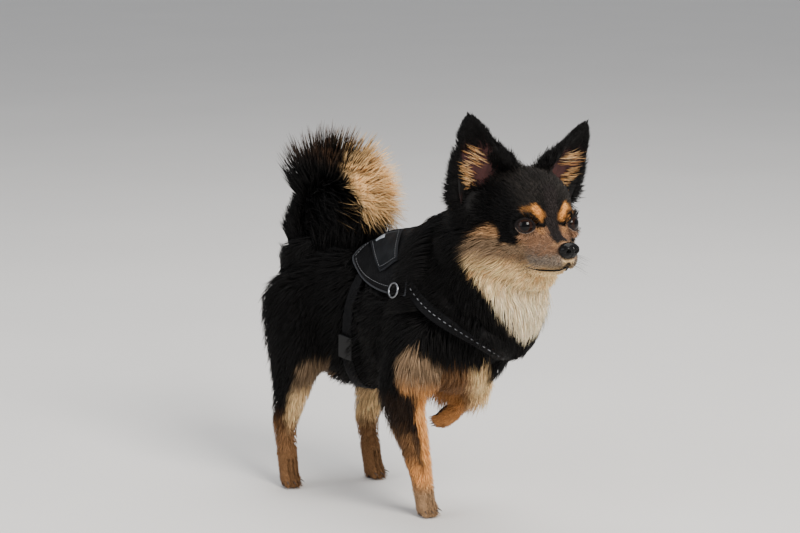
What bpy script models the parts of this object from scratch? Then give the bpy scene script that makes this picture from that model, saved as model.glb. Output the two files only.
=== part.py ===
"""A long-coated chihuahua in a saddle harness, life size, on three feet with the left forepaw lifted.

The animal's solids show the outer surface of the coat. Metres, +Z up, +X to the dog's front,
+Y to its left. The feet stand at Z = 0, and the origin is below the middle of the whole figure.
"""

import math

import bmesh
import bpy
from mathutils import Euler, Matrix, Vector
from mathutils.bvhtree import BVHTree

# ---- Driving dimensions ------------------------------------------------------------------------
GAP = 0.0004  # clearance between pieces that meet
CUT = 0.0006  # width of the cuts that part the body
CUT_ATTEMPTS = 8
CUT_NUDGE = Vector((0.000011, 0.000013, 0.000017))  # how far a cutter moves before it is tried again
VOLUME_SLACK = 1e-9  # cubic metres
COAT_GAP = 0.0007  # clearance between the coat and the harness
ROOM = 0.004  # cleared above a piece of the harness where the coat would lie over it
ROOM_SUFFIX = "_room"
FORM_VOXEL = 0.0016  # grain of the union that joins the masses of flesh and coat
FINE_SMOOTHING = 12  # passes that round the creases between masses all over
FORM_SMOOTHING = 80  # more passes, away from the head and paws
FACES = {  # triangles kept on each kind of piece
    "head": 950, "neck": 260, "trunk": 520, "foreleg": 260, "hindleg": 260, "forepaw": 130, "hindpaw": 130,
    "tail": 340, "nose": 150,
}
HEAD_REACH = 0.052  # radius of the head, from the middle of the skull
PAW_REACH = 0.016

# The head's place: middle of the skull, and its turn to the dog's right, lift and tilt.
HEAD_AT = Vector((0.1705, 0.0, 0.2643))
HEAD_TURN = math.radians(-16.5)
HEAD_LIFT = math.radians(2.5)
HEAD_TILT = math.radians(-1.5)

# Places on the head, in its own frame: X to the nose, Y to its left, from the middle of the skull.
EYE_AT = Vector((0.0285, 0.0190, -0.0040))
EYE_RADIUS = 0.0083
NOSE_AT = Vector((0.0635, 0.0, -0.0205))
NOSE_RADII = Vector((0.0070, 0.0084, 0.0066))
NOSTRIL_AT = Vector((0.0700, 0.0036, -0.0205))
NOSTRIL_RADIUS = 0.0019

EAR_BASE = Vector((-0.009, 0.0270, 0.0160))
EAR_TIPS = {-1: Vector((-0.016, -0.0455, 0.0775)), 1: Vector((-0.006, 0.0595, 0.0685))}  # right, left
EAR_OPENS = Vector((0.82, 0.56, 0.05))  # the way the cup of the left ear faces
EAR_HALF_WIDTH = 0.0265
EAR_RIM = 0.0012  # half width left at the tip
EAR_CUP = 0.75  # how deep the cup is, 1 for a round one
EAR_BEND = (78.0, 38.0)  # half angle that the cup wraps round, at its base and at its tip, in degrees
EAR_LEAN = 0.004  # how far the tip curls back
EAR_THICKNESS = 0.0036
EAR_ROOT_DEPTH = 0.0120  # how far the ear runs on into the coat of the head
EAR_ROWS, EAR_COLUMNS = 8, 6

# Joints of the limbs. The right forefoot carries the front, and the left one is lifted.
FORE_RIGHT = {
    "shoulder": Vector((0.085, -0.033, 0.155)),
    "elbow": Vector((0.062, -0.036, 0.112)),
    "wrist": Vector((0.070, -0.021, 0.038)),
    "paw": Vector((0.067, -0.013, 0.0078)),
}
FORE_LEFT = {
    "shoulder": Vector((0.085, 0.033, 0.155)),
    "elbow": Vector((0.030, 0.036, 0.119)),
    "wrist": Vector((0.086, 0.035, 0.109)),
    "paw": Vector((0.054, 0.022, 0.076)),
}
HIND_RIGHT = {
    "hip": Vector((-0.080, -0.026, 0.165)),
    "knee": Vector((-0.064, -0.037, 0.120)),
    "hock": Vector((-0.088, -0.036, 0.056)),
    "paw": Vector((-0.082, -0.036, 0.0078)),
}
HIND_LEFT = {
    "hip": Vector((-0.080, 0.026, 0.165)),
    "knee": Vector((-0.038, 0.037, 0.120)),
    "hock": Vector((-0.060, 0.035, 0.056)),
    "paw": Vector((-0.054, 0.038, 0.0078)),
}
LEGS = {"fore_right": FORE_RIGHT, "fore_left": FORE_LEFT, "hind_right": HIND_RIGHT, "hind_left": HIND_LEFT}
PAW_TURN = {"fore_right": -0.10, "hind_right": -0.12, "hind_left": 0.12}  # sideways turn of the toes
TOE_REACH = 0.0095
TOE_SPREAD = 0.0068
TOE_RADIUS = 0.0039
CLAW_START = 0.0005  # where a claw's root lies beyond the toe's last joint
CLAW_LENGTH = 0.0075
CLAW_RISE = 0.0006
CLAW_DROP = 0.0030
CLAW_STEPS = (0.0, 0.6, 1.0)
CLAW_RADII = (0.0012, 0.0010, 0.0003)
CLAW_SIDES = 5
CLAW_FLATNESS = 0.8
CLAW_SPLAY = 0.22

# Where the body is parted, by discs across the neck and ankles and thimbles over the tops of the legs.
DISC_SIDES = 32
HEAD_CUT_AT = Vector((-0.030, 0.0, -0.026))
HEAD_CUT_AXIS = Vector((0.62, 0.0, 0.78))
HEAD_CUT_RADIUS = 0.075
NECK_CUT_AT = Vector((0.1150, 0.0, 0.2005))
NECK_CUT_AXIS = Vector((0.80, 0.0, 0.60))
NECK_CUT_RADIUS = 0.085
NECK_MIDDLE = Vector((0.131, 0.0, 0.2125))
TRUNK_MIDDLE = Vector((0.0, 0.0, 0.165))
PAW_CUT = {"fore_right": 0.45, "fore_left": 0.75, "hind_right": 0.45, "hind_left": 0.45}
PAW_CUT_RADIUS = 0.020
DOME_RIM = 0.094
DOMES = {  # two ellipsoids each, upper and lower, as centre and radii
    "fore_right": [
        ((0.070, -0.037, 0.138), (0.034, 0.027, 0.030)),
        ((0.064, -0.035, 0.108), (0.032, 0.027, 0.030)),
    ],
    "fore_left": [
        ((0.036, 0.037, 0.126), (0.031, 0.027, 0.026)),
        ((0.090, 0.036, 0.108), (0.028, 0.027, 0.022)),
    ],
    "hind_right": [
        ((-0.076, -0.034, 0.152), (0.044, 0.031, 0.042)),
        ((-0.078, -0.036, 0.100), (0.044, 0.030, 0.030)),
    ],
    "hind_left": [
        ((-0.072, 0.034, 0.152), (0.044, 0.031, 0.042)),
        ((-0.050, 0.036, 0.100), (0.044, 0.030, 0.030)),
    ],
}

# The harness lies on the coat. Angles go round the chest from straight up, in degrees.
CHEST_AXIS = 0.165  # height of the line that those angles go round
SADDLE_REAR = -0.018
SADDLE_WIDEST = 0.062
SADDLE_FRONT = 0.078
SADDLE_DROP = 60.0  # how far down each flank the saddle reaches
SADDLE_STEPS = 7  # from its rear tip to where it is widest
SADDLE_SINK = 0.0020  # how deep the fabric presses into the coat
SADDLE_PROUD = 0.0014  # how far it stands out of it
LABEL_CORNERS = ((-0.008, 8.0), (0.036, 8.0), (0.062, 37.0), (0.040, 43.0))  # X and angle
LABEL_THICKNESS = 0.0012
LABEL_GRID = (4, 3)
BELLY_STRAP_TOP = 0.0085  # X where the girth leaves the saddle
BELLY_STRAP_LEAN = 0.0220  # how far back it runs by the breastbone
BELLY_STRAP_END = 44.0  # angle where each of its ends lies under the saddle
BELLY_STRAP_STEPS = 26
STRAP_HALF_WIDTH = 0.0055
STRAP_SINK = 0.0016
STRAP_PROUD = 0.0010
CHEST_CORE = Vector((0.085, 0.0, 0.165))  # the chest strap's path is seen from here
CHEST_STRAP_REACH = 102.0  # how far it runs to each side of straight ahead
CHEST_STRAP_LOW = -20.0  # its angle below level in front of the breast
CHEST_STRAP_RISE = 55.0  # how much higher that angle is at the side
CHEST_STRAP_STEPS = 20
RING_RADIUS = 0.0062
RING_WIRE = 0.0011
RING_LIFT = 0.0008
RING_PLACES = (  # name, place along the body, angle round the chest
    ("strap_ring_right", 0.066, -56.0),
    ("strap_ring_left", 0.066, 56.0),
    ("lead_ring", 0.066, 0.0),
)
BUCKLE_ANGLE = 128.0
BUCKLE_EDGE = 0.0011
BUCKLE_SIZE = Vector((0.0150, 0.0210, 0.0042))
BUCKLE_RISE = 0.0020


# ---- Small tools -------------------------------------------------------------------------------
def clear_scene():
    for obj in list(bpy.data.objects):
        bpy.data.objects.remove(obj, do_unlink=True)


def collection(name):
    made = bpy.data.collections.new(name)
    bpy.context.scene.collection.children.link(made)
    return made


def material(name, colour, roughness, metallic=0.0):
    made = bpy.data.materials.new(name)
    made.use_nodes = True
    shader = made.node_tree.nodes["Principled BSDF"]
    shader.inputs["Base Color"].default_value = (*colour, 1.0)
    shader.inputs["Roughness"].default_value = roughness
    shader.inputs["Metallic"].default_value = metallic
    made.diffuse_color = (*colour, 1.0)
    return made


def new_object(name, mesh, where, look=None):
    obj = bpy.data.objects.new(name, mesh)
    where.objects.link(obj)
    if look:
        mesh.materials.clear()
        mesh.materials.append(look)
    return obj


def evaluated_mesh(obj, name):
    bpy.context.view_layer.update()
    graph = bpy.context.evaluated_depsgraph_get()
    mesh = bpy.data.meshes.new_from_object(obj.evaluated_get(graph))
    mesh.name = name
    return mesh


def mesh_of(bm, name):
    mesh = bpy.data.meshes.new(name)
    bm.to_mesh(mesh)
    bm.free()
    return mesh


def ball_points():
    ball = bmesh.new()
    bmesh.ops.create_icosphere(ball, subdivisions=3, radius=1.0)
    points = [v.co.copy() for v in ball.verts]
    ball.free()
    return points


BALL_POINTS = ball_points()


def add_ball(bm, centre, radii, turn=(0.0, 0.0, 0.0), frame=Matrix.Identity(4)):
    """An ellipsoid, with its radii along the frame's axes after a turn in degrees."""
    spin = Euler([math.radians(a) for a in turn]).to_matrix().to_4x4()
    place = frame @ Matrix.Translation(centre) @ spin @ Matrix.Diagonal((*radii, 1.0))
    bmesh.ops.create_icosphere(bm, subdivisions=4, radius=1.0, matrix=place)


def add_limb(bm, start, end, start_radius, end_radius, frame=Matrix.Identity(4)):
    """A tapered length with round ends: the hull of two balls."""
    points = []
    for centre, radius in ((start, start_radius), (end, end_radius)):
        points += [frame @ Vector(centre) + radius * spot for spot in BALL_POINTS]
    hull = bmesh.new()
    for point in points:
        hull.verts.new(point)
    bmesh.ops.convex_hull(hull, input=hull.verts)
    bmesh.ops.delete(hull, geom=[v for v in hull.verts if not v.link_faces], context="VERTS")
    mesh = mesh_of(hull, "limb")
    bm.from_mesh(mesh)
    bpy.data.meshes.remove(mesh)


def loft(bm, rows):
    """Faces between neighbours in rows of vertices."""
    for low, high in zip(rows, rows[1:]):
        for n in range(len(low) - 1):
            bm.faces.new((low[n], low[n + 1], high[n + 1], high[n]))


def head_frame():
    turn = Matrix.Rotation(HEAD_TURN, 4, "Z") @ Matrix.Rotation(-HEAD_LIFT, 4, "Y")
    return Matrix.Translation(HEAD_AT) @ turn @ Matrix.Rotation(HEAD_TILT, 4, "X")


def mirrored(point, side):
    """The same place on the left (+1) or right (-1) of the head."""
    return Vector((point.x, point.y * side, point.z))


# ---- The animal's masses, at the coat's outer surface --------------------------------------------
def add_trunk(bm):
    add_ball(bm, (0.046, 0.0, 0.164), (0.072, 0.050, 0.060))  # rib cage
    add_ball(bm, (0.050, 0.0, 0.196), (0.062, 0.037, 0.044), turn=(0, 4, 0))  # withers
    add_ball(bm, (0.096, 0.0, 0.160), (0.044, 0.045, 0.052))  # forechest
    add_ball(bm, (-0.026, 0.0, 0.170), (0.076, 0.043, 0.054))  # loin
    add_ball(bm, (-0.026, 0.0, 0.145), (0.074, 0.038, 0.052))  # belly
    add_ball(bm, (-0.072, 0.0, 0.178), (0.046, 0.040, 0.042))  # croup
    for side in (-1, 1):
        add_ball(bm, (0.070, 0.032 * side, 0.160), (0.040, 0.023, 0.042))  # shoulder blade


def add_neck(bm):
    frame = head_frame()
    nape = frame @ Vector((-0.022, 0.0, -0.004))
    throat = frame @ Vector((-0.010, 0.0, -0.030))
    add_limb(bm, (0.072, 0.0, 0.198), nape, 0.046, 0.037)
    add_limb(bm, (0.100, 0.0, 0.182), throat, 0.046, 0.034)
    add_ball(bm, (0.140, 0.0, 0.194), (0.040, 0.040, 0.050), turn=(0, -14, 0))  # bib of long hair
    add_ball(bm, (-0.006, 0.0, -0.045), (0.030, 0.028, 0.026), frame=frame)  # throat
    for side in (-1, 1):
        ruff = (-0.032, 0.0330 * side, -0.012)
        add_ball(bm, ruff, (0.024, 0.022, 0.036), frame=frame)  # ruff behind the cheek and ear


def add_head(bm):
    frame = head_frame()
    add_ball(bm, (-0.004, 0.0, 0.004), (0.038, 0.036, 0.035), frame=frame)  # skull
    add_ball(bm, (0.012, 0.0, 0.010), (0.026, 0.029, 0.027), frame=frame)  # forehead
    add_ball(bm, (0.022, 0.0, -0.012), (0.020, 0.024, 0.016), frame=frame)  # root of the muzzle
    add_limb(bm, (0.030, 0.0, -0.021), (0.0545, 0.0, -0.0225), 0.0145, 0.0100, frame=frame)  # bridge
    for side in (-1, 1):
        add_ball(bm, (0.024, 0.0130 * side, 0.0075), (0.011, 0.010, 0.0075), frame=frame)  # brow
        add_ball(bm, (0.002, 0.0200 * side, -0.015), (0.027, 0.017, 0.018), frame=frame)  # cheek
        ruff = (-0.012, 0.0240 * side, -0.026)
        add_ball(bm, ruff, (0.028, 0.021, 0.021), turn=(0, -14, 0), frame=frame)  # cheek ruff
        lip_root, lip_end = (0.030, 0.0090 * side, -0.0275), (0.0570, 0.0052 * side, -0.0290)
        add_limb(bm, lip_root, lip_end, 0.0110, 0.0082, frame=frame)  # upper lip
    add_limb(bm, (0.008, 0.0, -0.034), (0.0520, 0.0, -0.0350), 0.0150, 0.0070, frame=frame)  # jaw


def add_foreleg(bm, joint, lifted):
    add_limb(bm, joint["shoulder"], joint["elbow"], 0.031, 0.0210)
    add_limb(bm, joint["elbow"], joint["wrist"], 0.0190, 0.0112)
    add_limb(bm, joint["wrist"], joint["paw"], 0.0112, 0.0088)
    back = Vector((0.002, -0.002, -0.012)) if lifted else Vector((-0.010, 0.0, 0.0))
    feather = joint["elbow"].lerp(joint["wrist"], 0.30) + back
    add_limb(bm, feather, joint["elbow"].lerp(joint["wrist"], 0.75) + 0.4 * back, 0.0115, 0.0085)


def add_hindleg(bm, joint):
    thigh = joint["hip"].lerp(joint["knee"], 0.45)
    add_limb(bm, joint["hip"], joint["knee"], 0.034, 0.0225)
    add_ball(bm, thigh + Vector((-0.004, 0.0, -0.006)), (0.034, 0.022, 0.036))
    add_limb(bm, joint["knee"], joint["hock"], 0.0215, 0.0124)
    add_limb(bm, joint["hock"], joint["paw"], 0.0120, 0.0090)
    breech = joint["knee"].lerp(joint["hock"], 0.50) + Vector((-0.014, 0.0, 0.006))
    add_limb(bm, joint["hip"] + Vector((-0.020, 0, -0.026)), breech, 0.018, 0.0110)


def paw_frame(name):
    """Middle of a paw, X along its toes and Z out of its back."""
    joint = LEGS[name]
    if name == "fore_left":
        toes = (joint["paw"] - joint["wrist"]).normalized()
        back = Vector((0.7, 0.0, -0.7))
    else:
        toes = Vector((1.0, PAW_TURN[name], 0.0)).normalized()
        back = Vector((0.0, 0.0, 1.0))
    back = (back - back.dot(toes) * toes).normalized()
    turn = Matrix((toes, back.cross(toes), back)).transposed()
    return Matrix.Translation(joint["paw"]) @ turn.to_4x4()


def toe_places():
    """Where the four toes of a paw end, in its frame, from its right to its left."""
    for n in range(4):
        out = (n - 1.5) / 1.5
        yield Vector((TOE_REACH - 0.0032 * abs(out) ** 2, TOE_SPREAD * out, -0.0012)), out


def add_paw(bm, frame):
    add_ball(bm, (0.0010, 0.0, -0.0010), (0.0118, 0.0094, 0.0088), frame=frame)
    for place, out in toe_places():
        root = Vector((0.0010, 0.6 * place.y, 0.0010))
        add_limb(bm, root, place, 0.0048, TOE_RADIUS, frame=frame)


def add_tail(bm):
    add_limb(bm, (-0.086, 0.0, 0.186), (-0.094, 0.0, 0.222), 0.020, 0.0160)
    add_limb(bm, (-0.094, 0.0, 0.222), (-0.086, 0.0, 0.252), 0.0160, 0.0180)
    add_limb(bm, (-0.088, 0.0, 0.262), (-0.120, 0.0, 0.294), 0.0180, 0.0060)
    add_ball(bm, (-0.048, 0.0, 0.271), (0.060, 0.031, 0.047), turn=(0, 6, 0))
    add_ball(bm, (-0.018, 0.0, 0.258), (0.036, 0.026, 0.030), turn=(0, 20, 0))


def all_masses(bm):
    add_trunk(bm)
    add_neck(bm)
    add_head(bm)
    for name, joint in LEGS.items():
        if name.startswith("fore"):
            add_foreleg(bm, joint, lifted=name == "fore_left")
        else:
            add_hindleg(bm, joint)
        add_paw(bm, paw_frame(name))


def broad_region(point):
    """0 on the head and paws, which keep their small forms, rising to 1 away from them."""
    away = ((head_frame().inverted() @ point).length - HEAD_REACH) / 0.014
    for joint in LEGS.values():
        away = min(away, ((point - joint["paw"]).length - PAW_REACH) / 0.010)
    return min(max(away, 0.0), 1.0)


def fused(name, masses, where):
    """The masses joined into one closed skin, with the creases between them rounded."""
    bm = bmesh.new()
    masses(bm)
    obj = new_object(name, mesh_of(bm, name), where)
    union = obj.modifiers.new("union", "REMESH")
    union.mode = "VOXEL"
    union.voxel_size = FORM_VOXEL
    applied(obj)
    rounded = obj.modifiers.new("rounded", "SMOOTH")
    rounded.iterations = FINE_SMOOTHING
    broad = obj.modifiers.new("broad", "SMOOTH")
    broad.iterations = FORM_SMOOTHING
    group = obj.vertex_groups.new(name="broad")
    for vert in obj.data.vertices:
        group.add([vert.index], broad_region(vert.co), "REPLACE")
    broad.vertex_group = "broad"
    applied(obj)
    keep_largest(obj)
    return obj


def thinned(obj, faces):
    thin = obj.modifiers.new("thinned", "DECIMATE")
    thin.ratio = faces / sum(len(face.vertices) - 2 for face in obj.data.polygons)
    applied(obj)


def applied(obj):
    """Turns the object's modifiers into its mesh."""
    mesh = evaluated_mesh(obj, obj.name)
    old = obj.data
    obj.modifiers.clear()
    obj.vertex_groups.clear()
    obj.data = mesh
    bpy.data.meshes.remove(old)


def triangulated(obj):
    bm = bmesh.new()
    bm.from_mesh(obj.data)
    bmesh.ops.triangulate(bm, faces=bm.faces[:])
    bm.to_mesh(obj.data)
    bm.free()


def smooth_shaded(obj, angle=50):
    obj.data.shade_smooth()
    obj.data.set_sharp_from_angle(angle=math.radians(angle))


def boxes_meet(one, other):
    """Whether the boxes round two objects come within the clearance of each other."""
    spans = []
    for obj in (one, other):
        points = [v.co for v in obj.data.vertices]
        spans.append([(min(p[i] for p in points), max(p[i] for p in points)) for i in range(3)])
    return all(a[0] < b[1] + 2 * GAP and b[0] < a[1] + 2 * GAP for a, b in zip(*spans))


# ---- Cuts ----------------------------------------------------------------------------------------
def helper(name, bm, helpers, thickness=0.0):
    """A hidden cutter; an open sheet gets a thickness, half to each side."""
    obj = new_object(name, mesh_of(bm, name), helpers)
    obj.hide_render = True
    obj.display_type = "WIRE"
    if thickness:
        solid = obj.modifiers.new("thickness", "SOLIDIFY")
        solid.thickness = thickness
        solid.offset = 0.0
    return obj


def grown(obj, gap, helpers):
    """A hidden copy of a solid, larger all over by the gap, to cut its bed with."""
    bm = bmesh.new()
    bm.from_mesh(evaluated_mesh(obj, "grown"))
    bm.normal_update()
    for vert, normal in [(v, v.normal.copy()) for v in bm.verts]:
        vert.co += gap * normal
    return helper(obj.name + "_bed", bm, helpers)


def cut_by(obj, cutter, operation="DIFFERENCE"):
    cut = obj.modifiers.new(cutter.name, "BOOLEAN")
    cut.operation = operation
    cut.object = cutter
    cut.solver = "EXACT"


def solid_of(mesh):
    """The volume of a mesh, and whether it is closed."""
    bm = bmesh.new()
    bm.from_mesh(mesh)
    found = bm.calc_volume(), all(edge.is_manifold for edge in bm.edges)
    bm.free()
    return found


def take_out(obj, cutter):
    """Cuts a solid out of another. A cut that comes out wrong is made again with the cutter moved a hair."""
    whole = obj.data
    before = solid_of(whole)[0]
    most = solid_of(evaluated_mesh(cutter, "cutter"))[0]
    for attempt in range(CUT_ATTEMPTS):
        obj.data = whole.copy()
        if attempt % 2 == 0:
            triangulated(obj)
        cutter.location = attempt * CUT_NUDGE
        cut_by(obj, cutter)
        applied(obj)
        after, closed = solid_of(obj.data)
        if closed and before - most - VOLUME_SLACK < after < before + VOLUME_SLACK:
            return
    raise RuntimeError(f"{cutter.name} does not cut {obj.name} cleanly")


def disc_cut(name, centre, axis, radius, helpers):
    bm = bmesh.new()
    turn = Vector(axis).to_track_quat("Z", "Y").to_matrix().to_4x4()
    place = Matrix.Translation(centre) @ turn
    bmesh.ops.create_circle(bm, cap_ends=True, segments=DISC_SIDES, radius=radius, matrix=place)
    return helper(name, bm, helpers, CUT)


def dome_cut(name, upper, lower, rim, helpers):
    """A sheet like a thimble over the top of a leg, open below the height of its rim."""
    bm = bmesh.new()
    for centre, radii in (upper, lower):
        for spot in BALL_POINTS:
            bm.verts.new(Vector(centre) + Vector(spot[i] * radii[i] for i in range(3)))
    bmesh.ops.convex_hull(bm, input=bm.verts)
    everything = bm.verts[:] + bm.edges[:] + bm.faces[:]
    bmesh.ops.bisect_plane(bm, geom=everything, plane_co=(0, 0, rim), plane_no=(0, 0, -1), clear_outer=True)
    bmesh.ops.delete(bm, geom=[v for v in bm.verts if not v.link_faces], context="VERTS")
    return helper(name, bm, helpers, CUT)


def parting_cuts(helpers):
    frame = head_frame()
    cuts = [
        disc_cut("cut_neck", NECK_CUT_AT, NECK_CUT_AXIS, NECK_CUT_RADIUS, helpers),
        disc_cut("cut_head", frame @ HEAD_CUT_AT, frame.to_3x3() @ HEAD_CUT_AXIS, HEAD_CUT_RADIUS, helpers),
    ]
    for name, joint in LEGS.items():
        upper_end = joint["wrist" if name.startswith("fore") else "hock"]
        at = upper_end.lerp(joint["paw"], PAW_CUT[name])
        cuts.append(disc_cut("cut_" + name, at, joint["paw"] - at, PAW_CUT_RADIUS, helpers))
        cuts.append(dome_cut("dome_" + name, *DOMES[name], DOME_RIM, helpers))
    return cuts


def bodies_of(obj):
    """The separate closed bodies of a mesh, largest first."""
    whole = bmesh.new()
    whole.from_mesh(obj.data)
    body_of = {}
    for start in whole.verts:
        front = [start] if start.index not in body_of else []
        while front:
            vert = front.pop()
            if vert.index not in body_of:
                body_of[vert.index] = start.index
                front += [edge.other_vert(vert) for edge in vert.link_edges]
    found = []
    for label in sorted(set(body_of.values())):
        part = whole.copy()
        away = [v for v in part.verts if body_of[v.index] != label]
        bmesh.ops.delete(part, geom=away, context="VERTS")
        found.append(part)
    whole.free()
    return sorted(found, key=lambda part: -part.calc_volume())


def named_bodies(obj, anchors, where, look):
    """Splits a mesh into its bodies, and names each one after the anchor that lies nearest to its middle."""
    left = dict(anchors)
    made = {}
    bodies = bodies_of(obj)
    for bm in bodies[: len(anchors)]:
        middle = sum((v.co for v in bm.verts), Vector()) / len(bm.verts)
        name = min(left, key=lambda key: (left[key] - middle).length)
        del left[name]
        made[name] = new_object(name, mesh_of(bm, name), where, look)
    return made


def keep_largest(obj):
    bodies = bodies_of(obj)
    bodies[0].to_mesh(obj.data)
    for bm in bodies:
        bm.free()


def bed_in(lower, uppers, gap, helpers):
    """Cuts the bed of each upper piece into a lower one, with clearance."""
    for upper in uppers:
        if boxes_meet(lower, upper):
            take_out(lower, grown(upper, gap, helpers))
    keep_largest(lower)


# ---- Pieces --------------------------------------------------------------------------------------
def make_flesh(form, helpers, shown, look):
    floor = bmesh.new()
    place = Matrix.Translation((0, 0, -0.05)) @ Matrix.Diagonal((0.6, 0.3, 0.1, 1))
    bmesh.ops.create_cube(floor, size=1.0, matrix=place)
    below = helper("below_floor", floor, helpers)
    for cutter in parting_cuts(helpers):
        take_out(form, cutter)
    form.hide_render = True
    form.display_type = "WIRE"
    anchors = {"head": HEAD_AT, "neck": NECK_MIDDLE, "trunk": TRUNK_MIDDLE}
    for name, joint in LEGS.items():
        kind, side = name.split("_")
        anchors[f"{kind}leg_{side}"] = joint["elbow" if kind == "fore" else "knee"]
        anchors[f"{kind}paw_{side}"] = joint["paw"]
    flesh = named_bodies(form, anchors, shown, look)
    for name, obj in flesh.items():
        thinned(obj, FACES[name.split("_")[0]])
        if "paw" in name:
            cut_by(obj, below)
    return flesh


def make_ear(side, head, shown, helpers, look):
    """A cupped leaf with a rounded tip, rooted in the coat of the skull."""
    frame = head_frame()
    base, tip = mirrored(EAR_BASE, side), EAR_TIPS[side]
    up = (tip - base).normalized()
    height = (tip - base).length
    opens = mirrored(EAR_OPENS, side)
    opens = (opens - opens.dot(up) * up).normalized()
    across = up.cross(opens)
    bm = bmesh.new()
    grid = []
    for row in range(EAR_ROWS + 1):
        along = -EAR_ROOT_DEPTH + row / EAR_ROWS * (height + EAR_ROOT_DEPTH)
        rise = min(max(along / height, 0.0), 1.0)
        half_width = EAR_HALF_WIDTH * (1 - rise**1.6) ** 0.8 + EAR_RIM
        bend = math.radians(EAR_BEND[0] + (EAR_BEND[1] - EAR_BEND[0]) * rise)
        line = []
        for column in range(EAR_COLUMNS + 1):
            angle = bend * (2 * column / EAR_COLUMNS - 1)
            sideways = half_width * math.sin(angle) / math.sin(bend)
            forward = -half_width * (math.cos(angle) - math.cos(bend)) / math.sin(bend) * EAR_CUP
            place = base + up * along + across * sideways + opens * (forward - EAR_LEAN * rise * rise)
            line.append(bm.verts.new(frame @ place))
        grid.append(line)
    loft(bm, grid)
    name = "ear_left" if side > 0 else "ear_right"
    ear = new_object(name, mesh_of(bm, name), shown, look)
    wall = ear.modifiers.new("wall", "SOLIDIFY")
    wall.thickness = EAR_THICKNESS
    wall.offset = 0.0
    applied(ear)
    triangulated(ear)
    bed_in(ear, [head], GAP, helpers)
    smooth_shaded(ear)
    return ear


def make_eye(side, head, shown, helpers, look):
    name = "eye_left" if side > 0 else "eye_right"
    centre = head_frame() @ mirrored(EYE_AT, side)
    spot = Matrix.Translation(centre)
    for radius, where in ((EYE_RADIUS + GAP, helpers), (EYE_RADIUS, shown)):
        bm = bmesh.new()
        bmesh.ops.create_uvsphere(bm, u_segments=12, v_segments=8, radius=radius, matrix=spot)
        if where is helpers:
            cut_by(head, helper(name + "_socket", bm, helpers))
        else:
            eye = new_object(name, mesh_of(bm, name), shown, look)
    smooth_shaded(eye)


def make_nose(head, shown, helpers, look):
    frame = head_frame()
    bm = bmesh.new()
    add_ball(bm, NOSE_AT, NOSE_RADII, frame=frame)
    nose = new_object("nose", mesh_of(bm, "nose"), shown, look)
    thinned(nose, FACES["nose"])
    cut_by(head, grown(nose, GAP, helpers))
    for side in (-1, 1):
        bm = bmesh.new()
        place = frame @ Matrix.Translation(mirrored(NOSTRIL_AT, side))
        bmesh.ops.create_icosphere(bm, subdivisions=2, radius=NOSTRIL_RADIUS, matrix=place)
        cut_by(nose, helper(f"nostril_{side}", bm, helpers))
    applied(nose)
    smooth_shaded(nose)


def make_claws(name, paw, shown, helpers, look):
    """Four short curved claws, each with its root sunk in its toe."""
    frame = paw_frame(name)
    up = Vector((0.0, 0.0, 1.0))
    for n, (place, out) in enumerate(toe_places()):
        bm = bmesh.new()
        heading = Vector((1.0, CLAW_SPLAY * out, 0.0)).normalized()
        side = up.cross(heading)
        rings = []
        for t, radius in zip(CLAW_STEPS, CLAW_RADII):
            middle = place + heading * (CLAW_START + CLAW_LENGTH * t) + up * (CLAW_RISE - CLAW_DROP * t * t)
            ring = []
            for k in range(CLAW_SIDES):
                angle = math.tau * k / CLAW_SIDES
                spot = middle + radius * (CLAW_FLATNESS * math.cos(angle) * side + math.sin(angle) * up)
                ring.append(bm.verts.new(frame @ spot))
            rings.append(ring + ring[:1])
        loft(bm, rings)
        bm.faces.new(rings[0][-2::-1])
        bm.faces.new(rings[-1][:-1])
        bmesh.ops.recalc_face_normals(bm, faces=bm.faces)
        claw = new_object(f"claw_{name}_{n + 1}", mesh_of(bm, "claw"), shown, look)
        cut_by(paw, grown(claw, GAP, helpers))
        smooth_shaded(claw)
    applied(paw)
    keep_largest(paw)


def hit(tree, core, direction):
    """Where a line from inside the body leaves its coat, and the way out of the surface there."""
    place, normal, _, _ = tree.ray_cast(core, direction.normalized())
    return place, normal


def round_chest(x, angle):
    """The start and heading of a line out of the chest, by its angle from straight up to the left."""
    turn = math.radians(angle)
    return Vector((x, 0.0, CHEST_AXIS)), Vector((0.0, math.sin(turn), math.cos(turn)))


def sheet(name, grid, sink, rise, where, look):
    """A sheet of fabric over a grid of places on the coat, from a depth in it to a height over it."""
    bm = bmesh.new()
    rows = [[bm.verts.new(place) for place in line] for line in grid]
    loft(bm, rows)
    bm.normal_update()
    middle = rows[len(rows) // 2][len(rows[0]) // 2]
    if middle.normal.dot(middle.co - Vector((middle.co.x, 0.0, CHEST_AXIS))) < 0:
        bmesh.ops.reverse_faces(bm, faces=bm.faces)
    obj = new_object(name, mesh_of(bm, name), where, look)
    wall = obj.modifiers.new("fabric", "SOLIDIFY")
    wall.thickness = sink + rise
    wall.offset = 2 * rise / (sink + rise) - 1
    wall.use_even_offset = True
    applied(obj)
    triangulated(obj)
    return obj


def room_over(name, grid, sink, proud, helpers):
    """The hidden solid that keeps the coat clear of a sheet, below it and a little way above it."""
    room = sheet(name + ROOM_SUFFIX, grid, sink + COAT_GAP, proud + ROOM, helpers, None)
    room.hide_render = True
    room.display_type = "WIRE"


def room_of(piece, helpers):
    return helpers.objects[piece.name + ROOM_SUFFIX]


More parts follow.
